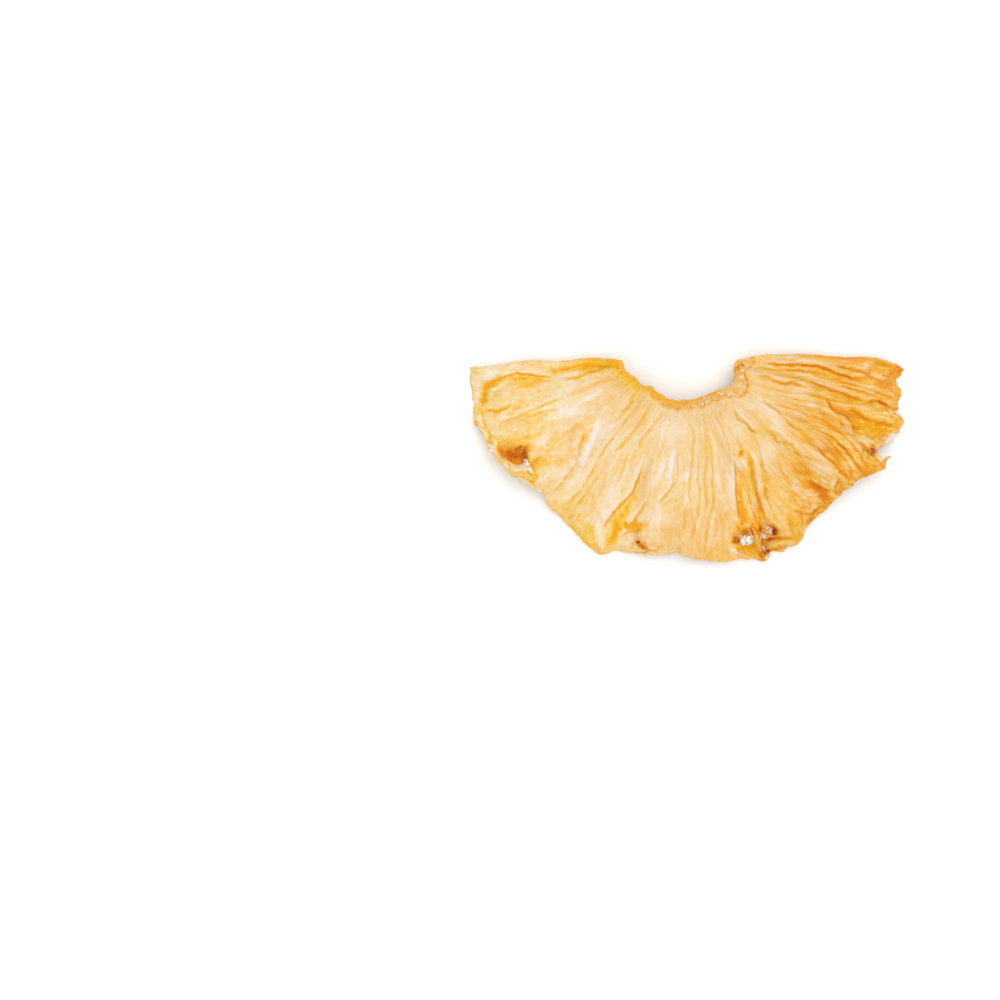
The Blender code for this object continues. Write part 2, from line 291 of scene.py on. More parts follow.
# name: half width, depth, how golden, how much higher the left side stands, points
creases = dict(
    leftPocket=(0.85, 0.3, 0.28, 0.25, (-42.7, 10.6), (-42.5, 13.6), (-41.2, 15.9), (-38.4, 17.2)),
    leftValley=(0.26, 0.35, 0.65, 0.2, (-39.5, 16.6), (-36.5, 17.7), (-33.2, 17.7), (-30.5, 17.2),
        (-27.6, 17)),
    cutStrip=(0.55, 0.2, 0.6, 0.15, (-31, 18.4), (-26, 18.9), (-22, 19.6), (-18, 19.7), (-14.4, 19.4)),
    cutStripLow=(0.25, 0.15, 0.45, 0, (-25, 18.4), (-21.5, 18.7), (-19, 18.7)),
    cutLine=(0.36, 0.22, 0.75, 0.1, (-26.2, 16.3), (-23.2, 16.4), (-20.2, 17.7), (-16.8, 18.3)),
    belowCut=(0.5, 0.15, 0.45, 0, (-25.5, 12.5), (-21.5, 14.2), (-18, 15.9), (-14.6, 16.9)),
    coreCorner=(0.45, 0.15, 0.55, 0, (-16, 19), (-13.8, 18.3), (-11.6, 16.9), (-9.2, 15.3), (-6.5, 14)),
    lumpFoot=(0.36, 0.22, 0.5, 0.1, (-42, 10.3), (-40, 9.6), (-37.8, 10.2), (-36.4, 11.4)),
    lumpSide=(0.5, 0.1, 0.2, 0, (-37.4, 11.2), (-36.4, 12.8), (-35.9, 14.6)),
    lumpTop=(0.35, 0.1, 0.25, 0.1, (-40.6, 13.2), (-39, 14.2), (-37.6, 15.4), (-35.6, 16)),
    leftFibreA=(0.3, 0.18, 0.5, 0.1, (-39.6, 6), (-38.2, 7.4), (-35.2, 8.4), (-32, 9.9), (-28.2, 11.6),
        (-25.4, 12.6)),
    leftFibreB=(0.22, 0.14, 0.18, 0.1, (-35.2, 7.4), (-32.6, 8.8), (-29.6, 9.7), (-26, 10.2)),
    pitEdge=(0.3, 0.08, 0.22, 0, (-27, 3.2), (-25.5, 5), (-23.5, 6.4), (-22.6, 8)),
    leftGold=(0.42, 0.2, 0.7, 0.1, (-22.9, 0.2), (-22.6, 2.4), (-22, 4), (-21.2, 5.6)),
    coreFanA=(0.33, 0.15, 0.52, 0.1, (-14.9, 9.5), (-12.8, 10.8), (-11.6, 12.8), (-10.2, 14.4)),
    coreFanB=(0.31, 0.15, 0.44, 0.1, (-14.4, 5.4), (-13.2, 7.8), (-11.4, 9.6), (-9.6, 12.2), (-8.6, 13.6)),
    coreFanC=(0.31, 0.14, 0.44, 0, (-18.7, -0.2), (-17.2, 2.4), (-15.6, 4.6), (-14, 6.2)),
    coreFanD=(0.4, 0.17, 0.44, 0.1, (-16.2, 0.6), (-13.6, 3), (-11.6, 5.2), (-9.8, 7.6), (-8.3, 10.2),
        (-7.4, 12.6)),
    coreFanE=(0.31, 0.15, 0.4, 0.1, (-10.2, 0.8), (-9.7, 3.6), (-8.1, 5.6), (-6.4, 8), (-4.9, 10.4)),
    coreFanF=(0.31, 0.12, 0.28, 0, (-12, -2), (-11.2, 0.6), (-10.4, 2.4)),
    lowerLeftA=(0.24, 0.14, 0.32, 0.1, (-28.6, -7.6), (-26.2, -4.6), (-24.2, -1.8), (-22.9, 0.4)),
    lowerLeftB=(0.28, 0.15, 0.38, 0.1, (-25.4, -9.8), (-22.2, -6.4), (-20.2, -3), (-18.7, 0)),
    lowerLeftC=(0.28, 0.15, 0.32, 0, (-24, -11.2), (-22, -8.6), (-20, -5.6), (-18.6, -3.4)),
    lowerLeftD=(0.28, 0.12, 0.18, 0, (-20.6, -10.6), (-18.8, -8.4), (-17.4, -5), (-16.6, -2)),
    lowerLeftE=(0.31, 0.12, 0.24, 0, (-15.2, -6.6), (-13.8, -3.4), (-12.6, 0), (-11.2, 2.4)),
    deepFold=(0.28, 0.45, 0.85, 0.28, (-17.6, -15), (-16.4, -12.8), (-14.4, -10.2), (-12.4, -8.1),
        (-11, -6), (-10, -3.8), (-9, -1.8)),
    foldFoot=(0.3, 0.3, 0.85, 0.25, (-14, -15.8), (-12.4, -15.3), (-10.6, -15), (-9, -14.6)),
    foldRight=(0.32, 0.25, 0.6, 0.1, (-11.2, -13.4), (-10.2, -12.2), (-9.4, -10.8), (-8, -9)),
    slantA=(0.24, 0.28, 0.62, 0.15, (-6.5, -9.5), (-4.9, -8.1), (-3.5, -6.3), (-2.3, -4.7)),
    slantB=(0.36, 0.15, 0.45, 0, (-5, -9.9), (-3.4, -8.9), (-1.6, -8.4)),
    paleCrack=(0.18, 0.1, 0.24, 0, (-5.1, -3.8), (-4.2, -1.4), (-3.5, 0.6)),
    fineA=(0.23, 0.12, 0.19, 0, (-1.9, 2), (-2, -3), (-1.8, -8)),
    fineB=(0.29, 0.12, 0.2, 0, (-0.2, -8.6), (-0.5, -12), (-1, -15.6)),
    fineC=(0.28, 0.14, 0.24, 0.05, (-0.6, 9.6), (0.4, 7), (1.1, 4.6), (0.8, 0.2), (0.4, -5.6),
        (0.2, -10.6)),
    fineD=(0.3, 0.14, 0.22, 0.05, (2.4, 2), (2, -3.4), (2.4, -7.8), (1.8, -12), (1, -15.8), (0.8, -18.6)),
    fineE=(0.3, 0.16, 0.3, 0.05, (3.4, 9.6), (3.7, 5.6), (3.9, 0), (3.3, -4.9), (3.8, -8.8), (3, -13.4)),
    fineF=(0.32, 0.17, 0.3, 0.05, (3.9, 7.8), (4.4, 4), (5, -0.6), (5.2, -5), (5.2, -9.2), (4.2, -13.4),
        (3.7, -17), (2.9, -21.2)),
    fineG=(0.3, 0.16, 0.28, 0, (5.2, -11.6), (6.1, -14), (5.5, -16.8)),
    fineH=(0.48, 0.08, 0.22, 0, (7.6, -1.8), (7.4, -4.4), (7.6, -7)),
    fineI=(0.37, 0.09, 0.21, 0, (9, -9.8), (8.2, -11.6), (7.2, -12.6)),
    fineJ=(0.3, 0.12, 0.2, 0, (5.6, 9.4), (7.2, 6.4), (8.4, 3.6), (9, 0.2), (8.8, -2.6)),
    fineK=(0.3, 0.1, 0.12, 0, (-3.2, 9.2), (-4.2, 6), (-5, 2.4), (-6.6, -1.4)),
    bowlEdge=(0.26, 0.3, 0.85, 0.15, (9.8, -17.9), (10.6, -19), (11.9, -19.9), (13.4, -20), (14.6, -19.2)),
    rustRim=(0.24, 0.3, 0.95, 0.1, (-11.4, -19.7), (-9.4, -19.6), (-7.4, -19.2), (-5.8, -19.2)),
    bandLeft=(0.26, 0.4, 0.85, -0.3, (10.2, 0.4), (10, -3.4), (10, -7.2), (10.4, -10.6), (10.7, -13.6)),
    bandRight=(0.42, 0.45, 0.85, 0.15, (12.1, 2.6), (13, 0.4), (13.7, -2.4), (14.4, -5.6), (15.2, -8.8),
        (16.4, -11.8), (17.6, -14)),
    bandInner=(0.22, 0.2, 0.55, 0, (13.1, -6.8), (13.4, -9.8), (14.2, -12.2), (15.2, -13.8)),
    bandAbove=(0.25, 0.12, 0.45, 0, (10.4, 4.4), (10.9, 3), (11.4, 1.4)),
    zigzag=(0.32, 0.36, 0.75, 0.2, (9.5, 10.6), (10.2, 9), (11.4, 8), (12.4, 7.4), (13.3, 6.2),
        (15.2, 5.2)),
    zigzagDown=(0.24, 0.18, 0.42, 0.05, (13.9, 5.4), (14.6, 3.4), (15.3, 0.4), (15.8, -3.6)),
    rightFanA=(0.3, 0.22, 0.6, 0.1, (16.4, 6.6), (18, 4.8), (19.4, 3)),
    rightFanB=(0.32, 0.28, 0.72, 0.15, (15, 12.6), (16.8, 10.9), (18.8, 9.4), (20.4, 7.4), (22.2, 6),
        (23.8, 5.4)),
    rightFanC=(0.28, 0.2, 0.5, 0.1, (17.6, 6.2), (18.8, 5.2), (20.4, 3.6), (21.8, 2.8), (23.2, 1),
        (24.8, 0.2)),
    rightFanD=(0.28, 0.16, 0.48, 0, (15.6, 11.8), (18.2, 11), (21.6, 10.4), (24, 9.4), (26, 7.4)),
    rightFanE=(0.3, 0.14, 0.36, 0, (15.8, -4.2), (16.6, -7.6), (18, -11)),
    rightFanF=(0.26, 0.14, 0.4, 0, (18.8, 1), (19.4, -1.4), (20.4, -4.4)),
    upperFoldA=(0.34, 0.42, 0.88, 0.25, (14, 16.9), (16.4, 16.7), (18.2, 15.9), (20, 15.2), (22.2, 15.3),
        (24.8, 14.3)),
    upperFoldB=(0.36, 0.48, 0.92, 0.3, (24.6, 16.6), (26.6, 15.5), (28.8, 14.6), (31.6, 13.7), (35.2, 12.3),
        (37.8, 11.9)),
    upperFoldC=(0.26, 0.22, 0.5, 0.1, (13.8, 19.4), (18, 18.5), (21, 18.6), (25, 18.2), (28.4, 17.6)),
    upperFoldD=(0.28, 0.42, 0.98, 0.3, (14.6, 20.1), (19.6, 19.6), (24.6, 19.5), (28.4, 19), (30.4, 18),
        (34, 17.1), (37.6, 16)),
    upperFoldE=(0.24, 0.18, 0.62, 0.1, (13.6, 20.3), (16, 21), (19.4, 20.6), (23.6, 20.1)),
    upperFoldF=(0.3, 0.28, 0.72, 0.2, (29.6, 20.1), (33, 19), (36.4, 18.2), (38.6, 17), (41.6, 15.9),
        (44, 15)),
    upperFoldG=(0.26, 0.26, 0.68, 0.15, (31, 16.2), (34.6, 15.4), (38.6, 14.2), (42, 13), (44.2, 12.6)),
    upperFoldH=(0.24, 0.22, 0.5, 0.1, (30.4, 14.9), (34, 14.6), (38.4, 13.2), (42.6, 11.6)),
    upperFoldI=(0.3, 0.3, 0.85, 0.1, (36.4, 11.2), (39.6, 12), (41.2, 11.2), (43.6, 10.4)),
    tornFlap=(0.34, 0.55, 0.98, -0.45, (28.4, 12.6), (29.4, 11), (30.4, 9.7), (32.4, 8.7), (33.8, 7.6),
        (34.6, 5.8), (35.2, 4.2)),
    recessLine=(0.34, 0.45, 0.98, 0.3, (32.6, 10.6), (34.8, 9.5), (36.8, 8.3), (40, 7.4), (43.6, 6.6)),
    recessFoot=(0.36, 0.45, 1.05, 0.1, (35.6, 3.2), (37.2, 1.8), (38.8, 0.6)),
    flapBead=(0.36, 0.18, 0.8, 0, (31, 8.3), (31.9, 7.2), (32, 6.2)),
    lobeA=(0.28, 0.32, 0.9, 0.15, (27.4, 5.6), (30.2, 4), (32.2, 2), (34.6, -1), (36.8, -3.8)),
    lobeB=(0.24, 0.24, 0.65, 0.1, (29.2, 7.2), (32.4, 4.4), (35, 1.2), (37.8, -2.6)),
    stainRim=(0.28, 0.35, 0.95, 0.3, (24.9, -13.8), (25.6, -12.4), (26.6, -11), (27.6, -10)),
    lobeC=(0.32, 0.42, 0.9, -0.3, (25.6, 2.1), (27.4, 1.2), (29, -0.3), (30.8, -1.8), (32.2, -3.4),
        (34, -5.2)),
    lobeD=(0.24, 0.24, 0.7, 0.1, (28.6, 3.6), (31, 1.4), (33, -1.4), (34.8, -4.4)),
    lobeE=(0.26, 0.24, 0.7, 0.1, (35.4, 2.2), (37.8, 0.6), (39.8, -0.8), (41, -2)),
    lobeF=(0.22, 0.18, 0.6, 0, (36.6, -0.6), (38.4, -1.6), (40.2, -1.6)),
    stainEdgeA=(0.42, 0.25, 0.8, 0.1, (25.4, -3.8), (26.8, -5.4), (28.6, -6), (30.4, -6.3)),
    stainEdgeB=(0.28, 0.22, 0.6, 0, (31.2, -4.2), (30.7, -6), (31.4, -7.4)),
    rimCreaseA=(0.32, 0.32, 0.9, 0.2, (24.6, -11.8), (25.8, -11.2), (27.2, -10.2), (29.2, -9.6)),
    rimCreaseB=(0.3, 0.3, 1.05, 0.1, (24.8, -13.6), (25.8, -13), (27, -12)),
    rimCreaseC=(0.28, 0.18, 0.5, 0, (22.4, -10.4), (23.6, -11.6), (24.2, -13.2)),
    lipStrip=(0.34, 0.45, 0.8, -0.3, (16.6, -17.6), (18.4, -17), (20.6, -16.7), (22.8, -16.8)),
    lipUnder=(0.26, 0.22, 0.7, 0, (16.9, -18.9), (19, -18.9), (21.4, -18.5)),
    eyeCrack=(0.24, 0.25, 0.85, 0.1, (-9.6, -18.3), (-8, -18.9), (-6.2, -19.4)),
    leftEyeRim=(0.34, 0.3, 0.9, -0.35, (-39.4, 4.6), (-39.2, 2.4), (-38.3, 0.4), (-36.8, -0.9), (-35, -1.4),
        (-33.5, -0.7), (-33.2, 1), (-34, 2.4)),
    leftRimRoll=(0.55, -0.45, 0, 0, (-43.9, 10.2), (-42.9, 6.6), (-41.6, 3.2), (-40, 0.6), (-38.2, -1.4),
        (-36.4, -2.6)),
    leftRimFoot=(0.22, 0.22, 0.5, 0, (-43, 10.4), (-42, 7), (-40.8, 4), (-39.9, 2)),
    leftLowRoll=(0.55, -0.4, 0, 0, (-35.4, -4.2), (-33.4, -5.3), (-31.6, -6.4), (-30.2, -7.2)),
    leftEyeFlap=(0.3, 0.32, 0.75, 0.1, (-36.4, -3.4), (-34.6, -2.9), (-32.6, -3.2), (-31.2, -4.4)),
    leftEyeFoot=(0.24, 0.25, 0.7, -0.2, (-33, -0.4), (-32, -2.2), (-31, -4.4)),
)

# name: middle, half width, half height, turn in degrees, then what is added to tone, warmth,
# whiteness and height, without the zeros at the end. Whiteness is the flesh's own pale, dry look in
# most patches, and painted sheen in the sheen and highlight patches
patches = dict(
    cutGold=((-19, 20.2), 7.6, 1.6, 2, 0.48, -0.5),
    cutGoldLow=((-20.2, 17.6), 2.6, 0.8, 8, 0.3, -0.9),
    coreCornerGold=((-12.4, 17), 5.8, 2.2, -36, 0.22, -0.5, 0, 0.15),
    pocketGold=((-40.3, 16), 2.2, 1.1, 25, 0.24, -1.2, 0, -0.15),
    pocketGoldLow=((-42.3, 13.2), 1, 3.2, -4, 0.3, -1.2, 0, -0.1),
    lumpPink=((-39.6, 10), 1.6, 0.8, 15, 0.24, 0.45),
    leftRimPale=((-43.9, 11.4), 1.1, 5.2, -4, -0.16, 0.2, 0.1, 0.1),
    leftCutPale=((-38.8, 19.2), 4.6, 1, 5, -0.1, 0.2, 0.12, 0.1),
    lumpPale=((-37.2, 14.2), 2, 2, 0, -0.06, -0.2, 0.1, 0.2),
    lumpYellow=((-34.6, 15.4), 4.6, 1.7, 5, 0.14, -0.7),
    foldGoldLeft=((-30.4, 17.4), 2.2, 0.6, -5, 0.24, -0.6),
    leftBodyPale=((-31, 13.2), 5, 1.6, 15, -0.1, 0, 0.15),
    # painted sheen: pale lilac-white streaks of light on the flesh, laid in as colour
    lilacSheenStreak=((-20.4, 12.6), 3.4, 0.6, 26, -0.26, 0.1, 0.65, 0.1),
    lilacSheenLow=((-24.6, 9.4), 3.6, 1, 12, -0.2, 0, 0.45),
    whiteSheenStreak=((-20.3, 3.6), 4.9, 0.55, 67, -0.32, 0, 0.8, 0.12),
    eyeShoulderPale=((-30.4, 3.4), 1.9, 1.1, 40, -0.24, 0, 0.35, 0.1),
    eyeGlow=((-37.3, 2.4), 2.2, 1.8, -25, 0.34, -0.1, 0, -0.2),
    eyeEdge=((-38.9, 2), 0.8, 2, 20, 0.5, 0, 0, -0.1),
    flapFold=((-33.2, -4.2), 1.8, 0.5, -38, 0.24, 0, 0, -0.1),
    eyeSideGold=((-32.6, -1.2), 1.2, 3.6, 10, 0.42, -0.2),
    flapGold=((-35.8, -1.6), 2.2, 0.8, -35, 0.26, -0.1),
    leftLowGold=((-28.4, -5.6), 1.5, 1.3, 0, 0.2),
    eyeWarmRight=((-30.2, -0.6), 3, 1.2, 0, 0.2, 0.1),
    leftMidWarm=((-24.2, 4.6), 2.8, 2.2, 0, 0.05, 0.45),
    leftMidPale=((-22, 0.7), 1.2, 1.7, -20, -0.3, -0.1, 0.35),
    leftMidWarmLow=((-25.4, 0.8), 3.4, 1.6, 20, 0.04, 0.45),
    leftLowPale=((-24.6, -5.6), 4.4, 1.5, 48, -0.14, -0.1, 0.3),
    midLeftPale=((-15.6, -7.6), 4.6, 1.4, 58, -0.15, -0.05, 0.25, 0.15),
    coreLeftPale=((-17.2, 6.4), 2.8, 1.6, 60, -0.1, 0, 0.35),
    foldYellow=((-14, -13.2), 3.8, 1.2, 60, 0.32, -1.2, 0, -0.2),
    foldYellowTip=((-15.2, -15.8), 1, 2.4, -12, 0.15, -1, 0, -0.1),
    foldYellowTop=((-11.4, -9.2), 3, 1, 55, -0.02, -0.6, 0, -0.1),
    foldOrange=((-11, -14.1), 2, 0.9, 8, 0.76, -0.1, 0, -0.3),
    foldPale=((-18, -16.6), 0.9, 2.8, 15, -0.03, -0.2, 0, 0.35),
    cornerRoll=((-20.4, -16.2), 2.9, 2.4, -45, 0.32, -0.4, 0, 0.3),
    cornerRust=((-17, -20), 1.4, 0.5, 0, 0.4, 1),
    smallEyePale=((-12, -17), 2.2, 0.9, 12, 0.04, -0.2, 0.05, 0.25),
    smallEyePaleRight=((-7, -17.8), 3.6, 0.8, -12, 0.16, 0.2, 0.08, 0.1),
    smallEyeRust=((-9, -18.4), 0.9, 0.45, -20, 0.4, 0.6, 0, -0.1),
    transversePale=((-5.4, -12.2), 3.2, 1.8, 0, -0.14, 0.1, 0.35),
    transverseGold=((-2.4, -10.4), 0.8, 3.2, 0, 0.04),
    coreUnderPale=((-4, 6.6), 3.6, 3.4, 0, -0.08, -0.05, 0.05, 0.1),
    # painted sheen: a pale white and lilac patch of reflected light
    whiteSheenPatch=((-3.3, -0.8), 0.6, 2.9, -14, -0.34, 0, 0.95, 0.1),
    lilacSheenPatch=((-5.3, -2.2), 0.4, 2.2, -20, -0.26, 0.1, 0.75),
    whiteDot=((-0.2, -3.8), 0.4, 0.9, 0, -0.3, 0, 0.8, 0.1),
    whiteDotLow=((-0.3, -8.6), 0.32, 1.2, 0, -0.26, 0, 0.7),
    midRightPale=((8.6, -6.6), 1.4, 5, 0, 0, 0.3, 0.12),
    bandRidge=((9.4, -7), 0.45, 4, 2, 0.04, 0.6, 0.12, 0.1),
    rimMiddleWarm=((5.4, -19.4), 5, 1.6, -4, 0.12, 0.1, 0, 0.1),
    rimMiddlePale=((6.8, -15.6), 2, 1.6, 0, -0.02, 0.2, 0.12, 0.15),
    bandGold=((12.2, -6), 1.9, 5.6, -12, 0.26, -0.15, 0, -0.2),
    bandGoldLow=((11.6, -11.8), 1.3, 2.6, 0, 0.3, -0.2, 0, -0.2),
    bandFade=((11.9, -8.2), 0.6, 1.7, 0, -0.34, 0, 0.25),
    bandTopPale=((11.6, -0.8), 1, 0.9, 0, -0.24, 0, 0.15),
    stripeTop=((15.8, -3.8), 1, 1.5, 0, 0.24, 0.2),
    orangeStripe=((15.6, -8.4), 0.9, 5.2, -18, 0.24, 0.4, 0, -0.1),
    bandFoot=((14.4, -13.8), 1.9, 1.9, 0, 0.34, -0.1, 0, -0.1),
    clusterFoot=((15.8, -19.7), 1, 1.7, 0, 0.56, 0.5, 0, -0.1),
    eyeRust=((12.6, -15), 1.8, 0.7, 0, 0.42, 0.5, 0, -0.1),
    eyeBowl=((12.8, -19), 2.6, 0.8, 6, 0.34, 0.2, 0, -0.2),
    bowlRim=((12.9, -20.4), 2.2, 0.7, 5, 0.24),
    # painted highlight: a pale streak along the rim of the bead beside the eye
    beadHighlight=((10.6, -19.5), 2.4, 0.5, -22, -0.36, 0.3, 0.5, 0.1),
    coreRightGold=((11.6, 15.4), 1.1, 1.8, 0, 0.22, 0.2),
    rightBodyPale=((17.8, 8.6), 3.8, 1.3, -42, -0.28, 0.1, 0.6),
    rightBodyLilac=((15, 11.4), 1.6, 0.7, -40, -0.1, 0.4, 0.4),
    rightBodyLow=((17, 2), 2, 2.4, 0, -0.12, 0.1, 0.4),
    underFoldPale=((23.4, 13.4), 2, 0.8, -12, -0.22, 0.2, 0.45),
    rightMidPale=((23.6, 8.8), 2.4, 0.9, -20, -0.14, 0.2, 0.25),
    rightFarPale=((26.2, 11.1), 1.7, 0.8, -20, -0.26, 0.2, 0.3),
    upperPale=((23.4, 17.5), 2.6, 0.7, -5, -0.22, 0.2, 0.2),
    rightGold=((28.6, 7.8), 3.6, 2.8, -35, 0.13, 0.15),
    lobePale=((27.6, -1.4), 2.6, 1, -30, -0.16, 0.3, 0.25),
    lobeTopPale=((27.4, 2.8), 1.8, 1.1, -40, -0.3, 0.3, 0.25),
    lobeEdgePale=((32.6, -1.3), 0.9, 1, 0, -0.22, 0.2, 0.15),
    lobeGoldLow=((30.5, -1.5), 1.3, 1, -40, 0.24, 0.1),
    lobeGold=((31, 0), 2.2, 1.1, -45, 0.14, 0.1),
    stain=((27.4, -6), 2.3, 1.1, -25, 0.4, 0.75, 0, -0.1),
    stainLow=((28.6, -8.2), 1.2, 1.4, -20, 0.24, 0.6, 0, -0.1),
    stainGold=((29.2, -9.7), 1.1, 0.9, 20, 0.36, -0.2),
    stainFacet=((31.9, -5.2), 1, 1.5, 0, 0.2, 0.7),
    # painted highlight: a pale upright streak on the facet beside the stain
    facetHighlight=((30.2, -4.6), 0.5, 0.9, -10, -0.22, 0, 0.3, 0.1),
    warmPatch=((24, -2.2), 2.6, 1.6, -30, 0.1, 0.7),
    warmRim=((24.4, -11.6), 2.6, 2.2, 45, 0.12, 0.6),
    paleMottleA=((22.6, -6.2), 1.4, 0.7, -20, -0.22, 0.2, 0.25, 0.05),
    paleMottleB=((25.4, -7), 1.1, 0.8, 10, -0.14, 0.3, 0.15),
    lipWarm=((20, -14.6), 2.2, 1.2, 0, 0.08, 0.2, 0, 0.1),
    lipShine=((19.8, -17.6), 2.6, 0.34, 6, -0.04, 0.1, 0.05, 0.25),
    underLip=((18.8, -19.4), 1.8, 0.6, 0, 0.22, 0.3, 0, -0.1),
    recess=((37.4, 6.2), 3.8, 2.2, -25, 0.24, -1, 0, -0.45),
    recessGold=((39.4, 5.2), 1.2, 1.6, -30, 0.18, -0.2),
    recessLump=((37, 3.8), 1.4, 0.8, 0, -0.16, 0, 0.3, 0.3),
    tornWhite=((42.2, 3.9), 1.6, 0.8, 38, -0.5, 0.1, 1),
    tornWhiteLow=((39.9, 0.2), 1.3, 0.55, -55, -0.7, 0.2, 0.9),
    cornerOrange=((44.2, 18.6), 1, 1.3, 0, 0.4, 0.3),
    cornerGold=((41.4, 20.2), 3, 0.9, -12, 0.1, 0.1),
    cornerWarm=((42.5, 16.5), 1.8, 1.9, 0, 0.22, 0.4),
    toothGold=((37, -2.7), 2, 1.7, -40, 0.36, 0.4),
    greySpot=((38, 18.2), 0.7, 0.9, 0, 0.52, 1.1, 0.25),
    greySpotPale=((37.4, 19.4), 1.2, 0.6, 60, -0.14, 0.4, 0.5),
    pinkSpot=((41.6, 16.5), 1.5, 0.7, -20, 0.3, 1, 0.25),
    cutPaleRight=((30.4, 19.8), 1.7, 0.7, 0, -0.26, 0.2, 0.25),
    cutPale=((22.6, 21.2), 4.4, 0.6, -2, -0.06, 0.2, 0.12),
    lowerShade=((3, -15.5), 10, 6, 0, 0.18, 0.4),
    leftShade=((-37, 8.5), 6, 9, 0, 0.08),
    cutOrange=((34.8, 20.5), 2, 0.9, 0, 0.12, 0.3),
)
# name: middle, half width, half height, turn in degrees, tone it reaches, warmth, height
pits = dict(
    eyeGold=((-37.2, 2.5), 2.1, 1.5, -25, 0.42, 0.2, -0.1),
    eyeBurnt=((-36.4, 0.8), 2.9, 1.5, -16, 0.85, 0.75, -0.25),
    eyeBurntRight=((-34.3, 1), 1.3, 1.7, 20, 0.87, 0.85, -0.2),
    eyeDeep=((-34.4, 1.5), 0.7, 0.8, 0, 0.89, 0.7, -0.1),
    eyeDeepLeft=((-37.2, 0.7), 0.8, 0.5, -20, 0.87, 0.7, 0),
    drop=((11.4, 1.4), 0.5, 0.8, 0, 0.82, 0.1, -0.12),
    smallEyeDark=((-10, -17.4), 0.55, 0.5, 0, 0.96, 0.9, -0.35),
    smallEyeRust=((-9.1, -18.3), 0.9, 0.5, -20, 0.82, 0.8, -0.1),
    bowlGold=((13, -18.2), 2.4, 1.5, 0, 0.77, 0.1, -0.25),
    bowlRust=((12.4, -15.2), 1.8, 0.8, 0, 0.85, 0.6, -0.2),
    bowlDarkLeft=((10.5, -17.2), 1.4, 0.65, 8, 0.93, 0.9, -0.3),
    bowlDarkMiddle=((15.4, -14.7), 0.6, 1, 0, 0.91, 0.8, -0.3),
    bowlDarkRight=((18.4, -15.2), 1, 1.3, 30, 0.96, 0.9, -0.6),
    bowlDarkUnder=((17.4, -16.9), 1.4, 0.6, 10, 0.9, 0.8, -0.25),
    bowlFloor=((16.2, -17.8), 0.9, 1, 0, 0.78, 0.5, -0.3),
    bowlDarkLow=((17, -19.4), 0.9, 0.9, 0, 0.98, 1, -0.5),
    bowlDarkRim=((15.6, -20.3), 0.7, 0.6, 0, 0.86, 0.9, -0.1),
    recessDark=((38.5, 1.5), 1.1, 0.9, 0, 0.92, 0.8, -0.35),
    brownSpot=((40.9, 11.3), 1.4, 0.5, -25, 0.87, 0.9, -0.1),
    stainDeep=((27.2, -5.9), 1.8, 0.7, -30, 0.84, 0.8, -0.05),
    stainDeepLow=((28.7, -7.9), 0.7, 1.1, 10, 0.82, 0.7, -0.05),
    cornerBurnt=((44.3, 18.8), 1, 1.3, 0, 0.78, 0.6, 0),
    lipHollow=((10.5, 18.9), 0.7, 1.3, -35, 0.86, 0.8, -0.1),
)

# middle, reach, depth, how much it mottles the colour: places with a rough, torn surface
roughPlaces = (
    ((24.5, -7), 5, 0.05, 0.07), ((28.5, -6.5), 3.5, 0.07, 0.1), ((24, -12), 3.5, 0.08, 0.1),
    ((37.5, 5.6), 4.2, 0.2, 0.18), ((42, 9), 3, 0.12, 0.12), ((38.5, 1.5), 3, 0.12, 0.12),
    ((41.5, 17), 3.5, 0.1, 0.12), ((26.5, 10), 3, 0.08, 0.12), ((13.5, -17.5), 4, 0.16, 0.1),
    ((-41, 14.5), 2.8, 0.08, 0.1), ((-35.5, 1.5), 3.2, 0.08, 0.04), ((-33, -3.5), 2.5, 0.1, 0.08),
    ((-9.5, -17.8), 2.6, 0.1, 0.08), ((-13.5, 18), 3, 0.08, 0.08), ((33, -5), 3, 0.1, 0.1),
)
print("creases", len(creases), "patches", len(patches), "pits", len(pits))


creaseLook = dict(
    wall=0.30, wallAt=2.2, wallWidth=1.1,  # flesh raised beside a crease, in parts of its depth and width
    stepAt=0.7, goldWidth=0.8, poolWidth=1.7, endFade=5.0, wander=0.22, jitter=0.10,
)


